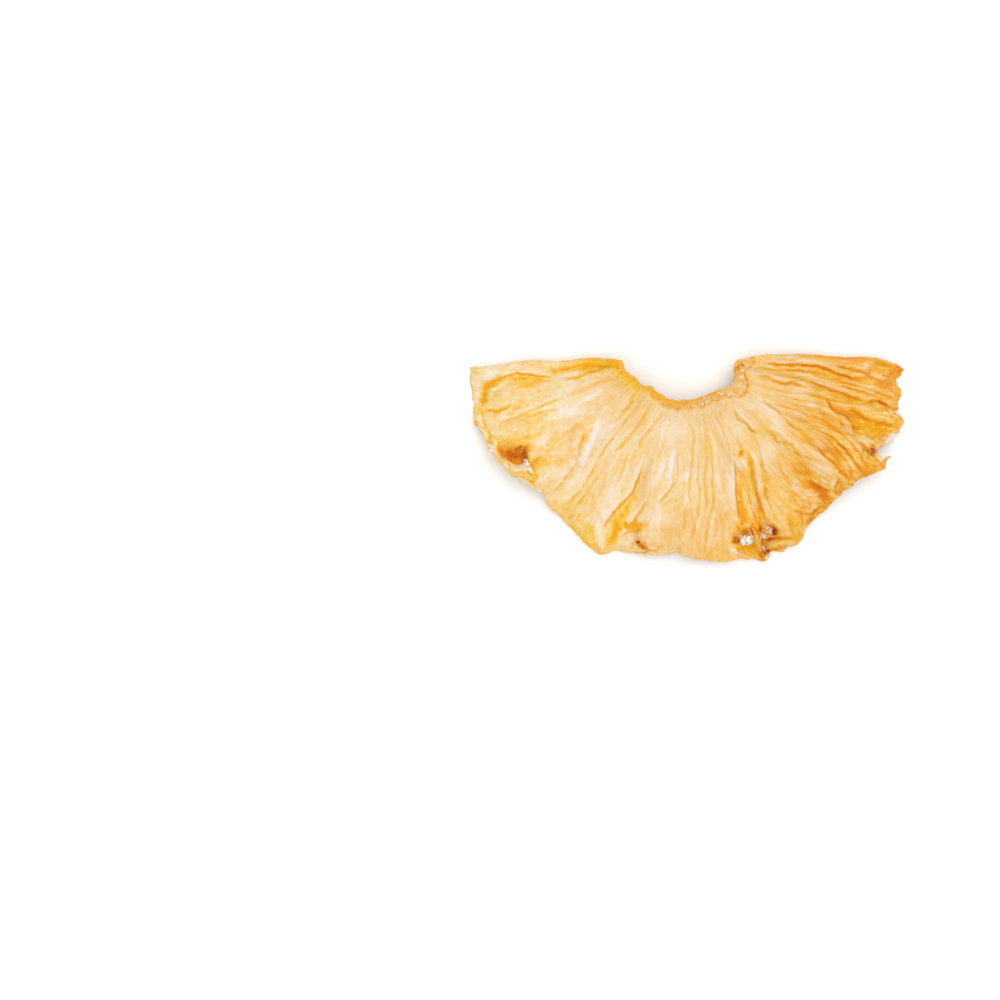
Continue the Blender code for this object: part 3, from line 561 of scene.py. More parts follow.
def drawCreases():
    c = creaseLook
    x, y = lat["x"], lat["y"]
    awayX = c["wander"] * wobble(x / 1.4, y / 1.4 + 20.0) + c["jitter"] * wobble(x / 0.6, y / 0.6)
    awayY = c["wander"] * wobble(x / 1.4 + 50.0, y / 1.4) + c["jitter"] * wobble(x / 0.6 + 9.0, y / 0.6)
    x, y = x + awayX, y + awayY
    height, gold = np.zeros_like(x), np.zeros_like(x)
    for halfWidth, depth, golden, step, *points in creases.values():
        curve = smoothCurve(points)
        reach = 3.0 + 4.0 * halfWidth
        low, high = curve.min(axis=0) - reach, curve.max(axis=0) + reach
        near = np.nonzero((x > low[0]) & (x < high[0]) & (y > low[1]) & (y < high[1]))
        gapX = x[near][:, None] - curve[None, :, 0]
        gapY = y[near][:, None] - curve[None, :, 1]
        distance = np.hypot(gapX, gapY)
        nearest = np.argmin(distance, axis=1)
        pick = np.arange(len(nearest))
        distance = distance[pick, nearest]
        run = np.gradient(curve, axis=0)[nearest]
        side = np.sign(run[:, 0] * gapY[pick, nearest] - run[:, 1] * gapX[pick, nearest])
        along = nearest / (len(curve) - 1)
        fade = ease(np.minimum(along, 1.0 - along) * c["endFade"])
        wander = 1.0 + 0.35 * wobble(x[near] / 1.3, y[near] / 1.3)
        halfWidth = halfWidth * wander
        height[near] -= depth * fade * swell(distance, 0.0, halfWidth)
        wall = swell(distance, c["wallAt"] * halfWidth, c["wallWidth"] * halfWidth)
        height[near] += c["wall"] * depth * fade * wall
        height[near] += step * side * fade * swell(distance, c["stepAt"], 1.0) * ease(distance / 0.3)
        pool = np.where(side * step < 0.0, c["poolWidth"], 1.0)  # gold pools on the lower side
        strong = golden * fade * (0.8 + 0.5 * wobble(x[near] / 2.1 + 3.0, y[near] / 2.1))
        goldWidth = c["goldWidth"] * halfWidth * pool
        gold[near] = np.maximum(gold[near], strong * swell(distance, 0.0, goldWidth))
    return height, gold


def spotMask(middle, halfWide, halfHigh, turn):  # an uneven oval, 1 in its middle
    alongX, alongY = turned(lat["x"] - middle[0], lat["y"] - middle[1], turn)
    uneven = 1.0 + 0.30 * wobble(lat["x"] / 1.5 + 5.0, lat["y"] / 1.5)
    uneven += 0.14 * wobble(lat["x"] / 0.6, lat["y"] / 0.6)
    return np.exp(-((np.hypot(alongX / halfWide, alongY / halfHigh) * uneven) ** 2.6))


def drawPatches():
    fields = [np.zeros_like(lat["x"]) for _ in range(4)]
    for middle, halfWide, halfHigh, turn, *amounts in patches.values():
        mask = spotMask(middle, halfWide, halfHigh, turn)
        for field, amount in zip(fields, amounts):
            field += amount * mask
    return fields


def drawRoughness():
    x, y = lat["x"], lat["y"]
    height, mottle = np.zeros_like(x), np.zeros_like(x)
    noise = makeNoise(seeds["rough"])
    bend = 0.5 * noise(x / 2.2, y / 2.2 + 3.0)
    value = noise(x / 1.0 + bend, y / 0.8 + bend) + 0.8 * noise(x / 0.5 + 9.0, y / 0.45 + bend)
    for place, reach, depth, colour in roughPlaces:
        mask = spotAt(place, reach)
        height += depth * mask * value
        mottle -= colour * mask * value
    return height, mottle


wobble, slow = makeNoise(seeds["wobble"]), makeNoise(seeds["tone"])


# Wrinkles that run with the fibres

# wavelength across and along the fibres, depth, how golden, how sharp, width of the golden line,
# seed, how far from the core they start
wrinkles = dict(
    pleats=dict(across=6.2, along=19.0, depth=0.34, gold=0.10, sharp=0.85, line=0.10, seed=21, fromCore=0.0),
    folds=dict(across=2.7, along=12.0, depth=0.20, gold=0.45, sharp=0.75, line=0.09, seed=22, fromCore=2.0),
    fibres=dict(across=1.25, along=9.0, depth=0.11, gold=0.45, sharp=0.80, line=0.13, seed=23, fromCore=4.0),
    hairs=dict(across=0.62, along=6.0, depth=0.05, gold=0.28, sharp=0.9, line=0.20, seed=24, fromCore=10.0),
)
calmPlaces = (  # middle, reach, how calm
    ((-19, -15.5), 4.5, 0.75), ((-13.5, -12.5), 3.5, 0.6), ((-35, 14.5), 4.5, 0.55), ((-4, 6.5), 4.5, 0.55),
    ((-41, 18.5), 5, 0.5), ((-28.5, 3), 4, 0.45), ((6, -18), 4.5, 0.15), ((-12, -17), 3.5, 0.7),
)
crossWrinkles = (  # short ones across the fibres: middle, reach, turn in degrees, depth
    ((-5.5, -12.5), 4, 4, 0.16), ((25.5, -6.5), 4.5, -35, 0.16), ((37.5, 5.5), 3.5, -20, 0.2),
    ((40.5, 16.5), 3, 30, 0.12),
)


def howFibrous():  # 1 where the fibres are plain to see, less where the flesh is calm
    calm = np.ones_like(lat["x"])
    for place, reach, amount in calmPlaces:
        calm -= amount * spotAt(place, reach)
    calm *= 0.56 + 0.44 * ease((lat["x"] - 10.0) / 16.0)
    calm -= 0.30 * ease((-lat["x"] - 16.0) / 14.0)
    return np.clip(calm, 0.1, 1.0)


def drawWrinkles(calm):
    x, y, arc, fromCore = lat["x"], lat["y"], lat["arc"], lat["fromCore"]
    warp = makeNoise(seeds["warp"])
    arc = arc + 1.5 * warp(arc / 9.0, fromCore / 13.0) + 0.5 * warp(arc / 3.1 + 9.0, fromCore / 6.0)
    rightSide = ease((x + 2.0) / 30.0)
    height, gold = np.zeros_like(x), np.zeros_like(x)
    for w in wrinkles.values():
        noise = makeNoise(w["seed"])
        value = noise(arc / w["across"], fromCore / w["along"])
        lean = noise(arc / (3.0 * w["across"]) + 31.0, fromCore / w["along"] + 7.0)
        valley = np.abs(value)
        strength = np.clip(0.75 + 0.9 * lean, 0.1, 1.6) * calm * (0.85 + 0.40 * rightSide)
        strength = strength * ease((fromCore - w["fromCore"]) / 6.0 + 0.25)
        height += w["depth"] * strength * (np.minimum(valley, 0.7) ** w["sharp"] - 0.42)
        gold += w["gold"] * (0.5 + 0.5 * rightSide) * strength * swell(valley, 0.0, w["line"])
    cross = makeNoise(seeds["cross"])
    for (atX, atY), reach, turn, depth in crossWrinkles:
        alongX, alongY = turned(x - atX, y - atY, turn)
        value = np.abs(cross(alongX / 3.6 + atX, alongY / 1.15))
        mask = spotAt((atX, atY), reach)
        height += depth * mask * (np.minimum(value, 0.6) - 0.3)
        gold += 0.30 * mask * swell(value, 0.0, 0.10)
    return height, gold


def blur(field, span, axis=1):  # the mean of the neighbours on both sides
    field = np.moveaxis(field, axis, 1)
    padded = np.pad(field, ((0, 0), (span, span)), mode="edge")
    total = np.cumsum(np.pad(padded, ((0, 0), (1, 0))), axis=1)
    return np.moveaxis((total[:, 2 * span + 1:] - total[:, :-2 * span - 1]) / (2 * span + 1), 1, axis)


reliefOf = dict(creases=0.65, wrinkles=0.85, patches=0.8, pits=0.8)  # how much of each height is kept
tones = dict(  # 0 is the palest, 1 the deepest; what ends in Left or Right is added towards that end
    base=0.26, right=0.20, centre=-0.05, mottle=0.09, mottleLeft=0.09, speckle=0.07, speckleLeft=0.04,
    # valley and hollow are painted shade in the relief's valleys and painted light on its ridges
    speckleRight=0.03, valley=1.1, valleyLimits=(-0.14, 0.22), hollow=0.30, hollowLimits=(-0.08, 0.12),
    rim=0.12, cut=0.08, core=0.02, deepest=0.74, gold=0.63, goldRight=0.05, goldStrong=0.13,
    # groove is painted shade in the groove beside the cut face
    face=0.64, faceGrain=0.10, faceGrainRight=0.10, faceRight=-0.16, groove=0.26,
    leftEnd=0.62, leftEndGrain=0.10,
)
warmth = dict(  # 0 is yellow and 1 is orange
    # the core amount and the valley cap set painted warm light, not the flesh's own warmth
    base=0.42, right=0.25, left=-0.25, drift=0.30, core=0.25, valleyBounceMost=0.3, leftEnd=-0.35,
    # groove is painted shade, made warmer, in the groove beside the cut face
    face=0.20, faceMiddle=0.35, faceRight=0.45, groove=0.35,
)


def drawFace():  # the cut face round the core: where it is, its grains and the groove beside it
    x, y, fromCore = lat["x"], lat["y"], lat["fromCore"]
    face = coreFaceWidth(lat["coreAngle"])
    onFace = 1.0 - ease((fromCore - face + 0.25) / 0.5)
    grain = makeNoise(seeds["face"])
    size = coreFace["grainSize"]
    bumps = grain(x / size, y / size) + 0.6 * grain(2.1 * x / size + 5.0, 2.1 * y / size)
    groove = swell(fromCore, face + 0.25, coreFace["grooveWidth"])
    groove *= 0.75 + 0.5 * grain(x / 1.1, y / 1.1 + 4.0)
    return onFace, bumps, groove


def drawTones(relief, bumps, golden, patchTone, patchWarm, roughTone):  # tone and warmth of the flesh
    x, y, fromCore = lat["x"], lat["y"], lat["fromCore"]
    t, w = tones, warmth
    cavity = blur(relief, 4) - relief  # above 0 in the valleys
    cavity += 0.7 * (blur(relief, 12) - relief)
    broad = blur(blur(relief, 30), 12, axis=0) - relief
    bent = 0.8 * slow(x / 3.4 + 40.0, y / 3.4)
    mottle = slow(x / 7.0, y / 7.0) + 0.7 * slow(x / 3.0 + 3.0 + bent, y / 2.4 + bent)
    mottle += 0.45 * slow(x / 1.3 + bent, y / 1.1 + 8.0)
    speckle = slow(lat["arc"] / 0.75 + bent, fromCore / 1.9 + 60.0)
    speckle += 0.6 * slow(x / 0.65 + 30.0, y / 0.6)
    rightSide, leftSide = ease((x - 8.0) / 24.0), ease((-x - 10.0) / 20.0)
    tone = t["base"] + t["right"] * rightSide + t["centre"] * swell(x, -6.0, 16.0)
    tone = tone + (t["mottle"] + t["mottleLeft"] * leftSide) * mottle + patchTone
    tone += (t["speckle"] + t["speckleLeft"] * leftSide + t["speckleRight"] * rightSide) * speckle
    # painted shade and light: the tone deepens in the narrow and broad valleys of the relief and pales on its
    # ridges
    reliefShading = np.clip(t["valley"] * cavity, *t["valleyLimits"])
    tone += reliefShading + np.clip(t["hollow"] * broad, *t["hollowLimits"])
    tone += t["rim"] * np.exp(-lat["fromRim"] / 1.0) + t["cut"] * np.exp(-lat["fromCut"] / 1.2)
    tone += t["core"] * np.exp(-fromCore / 5.0)
    tone = np.minimum(tone + roughTone, t["deepest"])
    tone += (t["gold"] + t["goldRight"] * rightSide + t["goldStrong"] * golden - tone) * golden
    warm = w["base"] + w["right"] * rightSide + w["drift"] * slow(x / 5.0 + 8.0, y / 5.0) + patchWarm
    # painted warm bounce light: the flesh turns more orange in the valleys of the relief
    warm += np.clip(cavity, 0.0, w["valleyBounceMost"])
    # painted warm light: warmer near the core, offsetting the shade on the slope below the raised core lip;
    # then yellower towards the left
    warm += w["core"] * np.exp(-fromCore / 6.0) + w["left"] * ease((-x - 14.0) / 20.0)
    nearLeftEnd = swell(x, -12.0, 6.0) * np.exp(-fromCore / 4.0)
    tone += (t["leftEnd"] + t["leftEndGrain"] * bumps - tone) * 0.5 * nearLeftEnd
    warm += w["leftEnd"] * nearLeftEnd
    return tone, warm


def colourFace(tone, warm, onFace, bumps, groove):  # the cut face over the colours of the flesh
    t, w = tones, warmth
    coreAngle = lat["coreAngle"]
    granular = ease((coreAngle + 34.0) / 30.0)
    groove = groove * (0.25 + 0.75 * granular)
    faceTone = t["face"] + (t["faceGrain"] + t["faceGrainRight"] * granular) * bumps
    faceTone += t["faceRight"] * ease((coreAngle - 20.0) / 30.0)
    faceWarm = w["face"] + w["faceMiddle"] * granular + w["faceRight"] * ease((coreAngle + 10.0) / 40.0)
    # painted shade: the groove beside the face is drawn deeper and warmer, as a dark line under the face's
    # edge
    tone = tone * (1.0 - onFace) + faceTone * onFace + t["groove"] * groove
    warm = warm * (1.0 - onFace) + faceWarm * onFace + w["groove"] * groove
    return tone, warm


def drawPits(relief, tone, warm):  # changes all three, and says where the pits are
    inPit = np.zeros_like(tone)
    for *shape, shade, heat, rise in pits.values():
        mask = np.minimum(1.15 * spotMask(*shape), 1.0)
        tone += (shade - tone) * mask
        warm += (heat - warm) * mask
        relief += reliefOf["pits"] * rise * mask
        inPit = np.maximum(inPit, mask)
    return inPit


def drawSurface():
    creaseHeight, creaseGold = drawCreases()
    patchTone, patchWarm, patchPaleAndSheen, patchHeight = drawPatches()
    roughHeight, roughTone = drawRoughness()
    calm = howFibrous()
    wrinkleHeight, wrinkleGold = drawWrinkles(calm)
    onFace, bumps, groove = drawFace()
    relief = (reliefOf["creases"] * creaseHeight + reliefOf["wrinkles"] * wrinkleHeight
              + reliefOf["patches"] * patchHeight + roughHeight) * (1.0 - onFace)
    relief = relief + coreFace["grain"] * bumps * onFace
    relief -= coreFace["groove"] * groove
    golden = np.clip(0.95 * creaseGold + 0.70 * wrinkleGold, 0.0, 1.0)
    tone, warm = drawTones(relief, bumps, golden, patchTone, patchWarm, roughTone)
    tone, warm = colourFace(tone, warm, onFace, bumps, groove)
    inPit = drawPits(relief, tone, warm)

    # white is the flesh's own pale, dry look together with painted sheen from the sheen and highlight
    # patches; none in pits, little on gold creases
    streaky = 0.75 + 0.6 * slow(lat["arc"] / 0.9 + 70.0, lat["fromCore"] / 5.0)
    white = np.clip(patchPaleAndSheen * streaky, 0.0, 1.0) * (1.0 - inPit)
    white *= 1.0 - 0.8 * np.clip(creaseGold, 0.0, 1.0)
    onRight = ease((lat["coreAngle"] + 30.0) / 40.0)
    faceWhite = np.clip(0.9 * bumps - 0.20, 0.0, 0.5) * onRight * (1.0 - inPit)
    white = white * (1.0 - onFace) + faceWhite * onFace
    fibrous = calm * (1.0 - onFace) * (1.0 - 0.7 * inPit)
    return relief, tone, warm, np.clip(white, 0.0, 1.0), fibrous


relief, tone, warm, white, fibrous = drawSurface()
print("surface drawn, tone %.2f to %.2f" % (tone.min(), tone.max()))


# The slice's mesh

def roundOff(distance, reach):  # 0 at an edge, 1 from reach inwards, round between
    near = np.clip(1.0 - distance / reach, 0.0, 1.0)
    return np.sqrt(1.0 - near**2)


sideForm = dict(
    rim=0.8, cut=0.75, core=0.7, face=1.1, narrowestFace=0.9,  # how far in each edge is rounded
    reliefAtEdge=0.3, deepest=0.15, leastApart=0.3,
    underWrinkles=0.16, underFibres=0.07, underLevel=0.3, underFollows=0.35,
)


def placeSides():
    s = sideForm
    mid = np.stack([lat["x"], lat["y"], formHeight(lat["across"], lat["formOut"])], axis=-1)
    downRows, alongColumns = np.gradient(mid, axis=0), np.gradient(mid, axis=1)
    normal = np.cross(alongColumns, downRows)
    normal *= -np.sign(normal[..., 2:3])
    normal = -normal / np.linalg.norm(normal, axis=-1, keepdims=True)
    for i in range(3):  # a smooth direction keeps the sides from crossing in narrow valleys
        normal[..., i] = blur(blur(normal[..., i], 12), 6, axis=0)
    normal /= np.linalg.norm(normal, axis=-1, keepdims=True)
    thick = formThickness(lat["formOut"])
    edges = roundOff(lat["fromRim"], s["rim"]) * roundOff(lat["fromCut"], s["cut"])
    face = np.maximum(coreFaceWidth(lat["coreAngle"]), s["narrowestFace"])
    topEdge = edges * roundOff(lat["fromCore"], face * s["face"])
    lowEdge = edges * roundOff(lat["fromCore"], s["core"])
    rise = 0.5 * thick * topEdge + relief * np.minimum(edges + s["reliefAtEdge"], 1.0)
    rise = np.maximum(rise, -s["deepest"] * thick * topEdge)
    top = mid + normal * rise[..., None]
    under = makeNoise(seeds["under"])
    broad = np.abs(under(lat["arc"] / 2.9, lat["fromCore"] / 11.0)) - s["underLevel"]
    fine = np.abs(under(lat["arc"] / 1.2 + 4.0, lat["fromCore"] / 7.0)) - s["underLevel"]
    ownRelief = s["underWrinkles"] * broad + s["underFibres"] * fine
    drop = 0.5 * thick * lowEdge - (s["underFollows"] * relief - ownRelief) * lowEdge
    low = mid - normal * drop[..., None]
    ring = (lat["fromRim"] <= 0.0) | (lat["fromCut"] <= 0.0) | (lat["fromCore"] <= 0.0)
    low[ring] = top[ring]
    low[..., 2] = np.maximum(low[..., 2], 0.0)
    top[..., 2] = np.maximum(top[..., 2], low[..., 2] + s["leastApart"] * edges)
    return top, low


def stitch(rowA, rowB):  # triangles between two rows, one of which may have twice the points
    if len(rowA) == len(rowB):
        a, b, c, d = rowA[:-1], rowA[1:], rowB[1:], rowB[:-1]
        flip = (np.arange(len(a)) % 2 == 0)[:, None]
        one = np.where(flip, np.stack([a, d, c], 1), np.stack([a, d, b], 1))
        two = np.where(flip, np.stack([a, c, b], 1), np.stack([d, c, b], 1))
        return np.vstack([one, two])
    if len(rowA) < len(rowB):
        a0, a1 = rowA[:-1], rowA[1:]
        b0, b1, b2 = rowB[:-1:2], rowB[1::2], rowB[2::2]
        return np.vstack([np.stack(t, 1) for t in ((a0, b0, b1), (a0, b1, a1), (a1, b1, b2))])
    return stitch(rowB, rowA)[:, ::-1]


def addObject(name, data):
    thing = bpy.data.objects.new(name, data)
    bpy.context.scene.collection.objects.link(thing)
    return thing


def buildPiece(name, points, triangles, values, uvs):  # points in mm, values one for each point
    mesh = bpy.data.meshes.new(name + "_mesh")
    mesh.vertices.add(len(points))
    mesh.vertices.foreach_set("co", (points * mm).ravel())
    mesh.loops.add(len(triangles) * 3)
    mesh.loops.foreach_set("vertex_index", triangles.ravel())
    mesh.polygons.add(len(triangles))
    mesh.polygons.foreach_set("loop_start", np.arange(0, len(triangles) * 3, 3))
    mesh.update(calc_edges=True)
    mesh.validate()
    for label, value in values.items():
        layer = mesh.attributes.new(label, "FLOAT", "POINT")
        layer.data.foreach_set("value", value.astype(np.float32))
    for label, coordinates in uvs.items():
        layer = mesh.uv_layers.new(name=label)
        layer.data.foreach_set("uv", coordinates.astype(np.float32).ravel())
    mesh.shade_smooth()
    piece = addObject(name, mesh)
    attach(piece, "root")
    print(name, len(points), "points", len(triangles), "triangles")
    return piece


def makeSlice():
    rows, columns, finer = lattice["rows"], lattice["columns"], lattice["finerFromRow"]
    index = np.full((2, rows + 1, columns + 1), -1)
    for r in range(rows + 1):
        index[0, r, :: 1 if r > finer else 2] = 1
        if r % 2 == 0:
            index[1, r, :: 2 if r > finer else 4] = 1
    index[1, 0], index[1, rows], index[1, :, 0], index[1, :, columns] = -1, -1, -1, -1
    used = index > 0
    index[used] = np.arange(used.sum())
    points = np.stack([top, low])[used]
    ringIndex = index[1]
    for where in (np.s_[0, :], np.s_[rows, :], np.s_[:, 0], np.s_[:, columns]):
        ringIndex[where] = index[0][where]

    topRows = [row[row >= 0] for row in index[0]]
    triangles = [stitch(topRows[r], topRows[r + 1]) for r in range(rows)]
    topCount = sum(len(part) for part in triangles)
    lowRows = {}
    for r in range(0, rows + 1, 2):
        every = (1 if r == rows else 2) if r > finer else (2 if r == 0 else 4)
        lowRows[r] = ringIndex[r, ::every]
    for r in range(0, rows, 2):
        triangles.append(stitch(lowRows[r], lowRows[r + 2])[:, ::-1])
    for column, turn in ((0, 1), (columns, -1)):  # slivers beside the cuts close the underside
        ends = index[0][:, column]
        sliver = np.stack([ends[:-2:2], ends[2::2], ends[1:-1:2]], 1)
        triangles.append(sliver[:, ::turn])
    triangles = np.vstack(triangles)

    underTone = 0.36 + 0.55 * (tone - 0.36)
    values = dict(
        tone=np.stack([tone, underTone])[used],
        warm=np.stack([warm, warm])[used],
        white=np.stack([white, 0.4 * white])[used],
        fibrous=np.stack([fibrous, fibrous])[used],
    )
    corner = triangles.ravel()
    onTop = np.repeat(np.arange(len(triangles)) < topCount, 3)
    fibre = np.stack([lat["arc"], lat["fromCore"]], axis=-1) / 10.0
    fibre = np.stack([fibre, fibre + 7.0])[used][corner]
    start = points.min(axis=0)
    margin = 0.015
    plan = (points[corner][:, :2] - start[:2]) / (points[:, 0].max() - start[0])
    plan = plan * (1.0 - 2.0 * margin) + margin
    plan[:, 1] += np.where(onTop, 0.5, 0.0)
    return buildPiece("pineapple_flesh", points, triangles, values, dict(OFBake=plan, fibres=fibre))


top, low = placeSides()


# Small things on the slice

def surfaceAt(x, y):  # the top of the flesh, from the nearest point of the lattice
    gap = (top[..., 0] - x) ** 2 + (top[..., 1] - y) ** 2
    return top[np.unravel_index(np.argmin(gap), gap.shape)]


def beadShape():  # a small round bead of 80 faces
    bm = bmesh.new()
    bmesh.ops.create_icosphere(bm, subdivisions=2, radius=1.0)
    points = np.array([v.co[:] for v in bm.verts])
    faces = np.array([[v.index for v in f.verts] for f in bm.faces])
    bm.free()
    return points, faces


def makeBeads(name, places, sizes, values, seed, lumpy=0.22):
    draw = np.random.default_rng(seed)
    ball, faces = beadShape()
    count = len(places)
    push = 1.0 + lumpy * draw.uniform(-1.0, 1.0, (count, len(ball), 1))
    stretch = draw.uniform(0.75, 1.25, (count, 1, 3))
    points = places[:, None, :] + sizes[:, None, None] * push * stretch * ball[None]
    triangles = (faces[None] + (np.arange(count) * len(ball))[:, None, None]).reshape(-1, 3)
    each = {label: np.repeat(value, len(ball)) for label, value in values.items()}
    return buildPiece(name, points.reshape(-1, 3), triangles, each, {})


coreGrain = dict(count=900, size=(0.07, 0.19), larger=1.15, smaller=0.9, sink=0.3, fewest=0.15,
                 palest=0.05, paleRight=0.65)


def placeCoreGrain():  # juice dried to grains on the cut face round the core
    g = coreGrain
    draw = np.random.default_rng(seeds["coreGrain"])
    places, sizes, pale = [], [], []
    columns = lattice["columns"]
    for _ in range(g["count"]):
        column = int(columns * draw.uniform(0.02, 0.99))
        angle = lat["coreAngle"][0, column]
        if draw.random() > g["fewest"] + (1.0 - g["fewest"]) * float(ease((angle + 34.0) / 30.0)):
            continue
        wide = float(coreFaceWidth(np.array(angle)))
        along = draw.beta(1.6, 1.2) * wide
        row = int(np.argmin(np.abs(lat["fromCore"][:, column] - along)))
        size = draw.uniform(*g["size"]) * (g["larger"] if angle > 20.0 else g["smaller"])
        places.append(top[row, column] - (0.0, 0.0, size * g["sink"]))
        sizes.append(size)
        right = float(ease((angle + 20.0) / 50.0))
        pale.append(draw.random() < g["palest"] + g["paleRight"] * right * along / wide)
    pale = np.array(pale, float)
    values = dict(pale=pale * draw.uniform(0.6, 1.0, len(pale)), rosy=draw.uniform(0.0, 1.0, len(pale)))
    return makeBeads("core_grain", np.array(places), np.array(sizes), values, seeds["coreGrain"])


# middle, half width, half height, turn, bead size, how pale, how rosy, height of the heap
crumbHeaps = dict(
    leftEye=((-33.5, -0.9), 0.6, 0.7, 0, 0.2, 1, 0.2, 0.8),
    leftEyeLow=((-32.8, -2.4), 0.42, 0.75, 25, 0.16, 0.9, 0.35, 0.5),
    leftStub=((-40.9, 1.2), 0.35, 0.8, 15, 0.15, 0.9, 0, 0.3),
    smallEye=((-10.5, -16.7), 0.35, 0.25, 0, 0.13, 0.5, 0.8, 0.2),
    midEye=((12.5, -17.1), 1.3, 1.05, 10, 0.27, 1, 0.25, 1.2),
    tan=((17.2, -15), 0.8, 1, 10, 0.22, 0.45, 0.1, 1.3),
    white=((16.2, -16.3), 0.6, 0.4, -30, 0.17, 1, 0.4, 0.8),
    rosy=((16.1, -18.7), 0.22, 0.6, 25, 0.12, 0.8, 0.9, 0.5),
    rosyLow=((17, -20.6), 0.5, 0.35, 10, 0.13, 0.75, 0.9, 0.4),
    rightSpeck=((30.6, -2.7), 0.12, 0.12, 0, 0.16, 1, 0, 0.1),
    torn=((42.4, 4.2), 1.3, 0.4, 45, 0.12, 0.9, 0, 0.1),
    tooth=((41.4, -0.2), 0.5, 0.25, 30, 0.12, 0.6, 0.8, 0.1),
)


crumbPacking = dict(fewest=4, packing=2.6, sizes=(0.65, 1.2), lifts=(0.35, 1.0), sitsUp=0.3)


def placeCrumbs():
    c = crumbPacking
    draw = np.random.default_rng(seeds["crumbs"])
    places, sizes, pale, rosy = [], [], [], []
    for (atX, atY), halfWide, halfHigh, turn, bead, paleness, rosiness, heap in crumbHeaps.values():
        count = c["fewest"] + int(c["packing"] * halfWide * halfHigh / bead**2)
        for _ in range(count):
            reach, way = math.sqrt(draw.random()), draw.uniform(0.0, 2.0 * math.pi)
            away = turned(halfWide * reach * math.cos(way), halfHigh * reach * math.sin(way), -turn)
            x, y = atX + away[0], atY + away[1]
            size = bead * draw.uniform(*c["sizes"])
            lift = heap * (1.0 - reach**2) * draw.uniform(*c["lifts"])
            places.append(surfaceAt(x, y) * (0, 0, 1) + (x, y, c["sitsUp"] * size + lift))
            sizes.append(size)
            pale.append(np.clip(paleness + draw.uniform(-0.2, 0.1), 0.0, 1.0))
            rosy.append(np.clip(rosiness + draw.uniform(-0.25, 0.25), 0.0, 1.0))
    values = dict(pale=np.array(pale), rosy=np.array(rosy))
    return makeBeads("eye_crumbs", np.array(places), np.array(sizes), values, seeds["crumbShapes"])


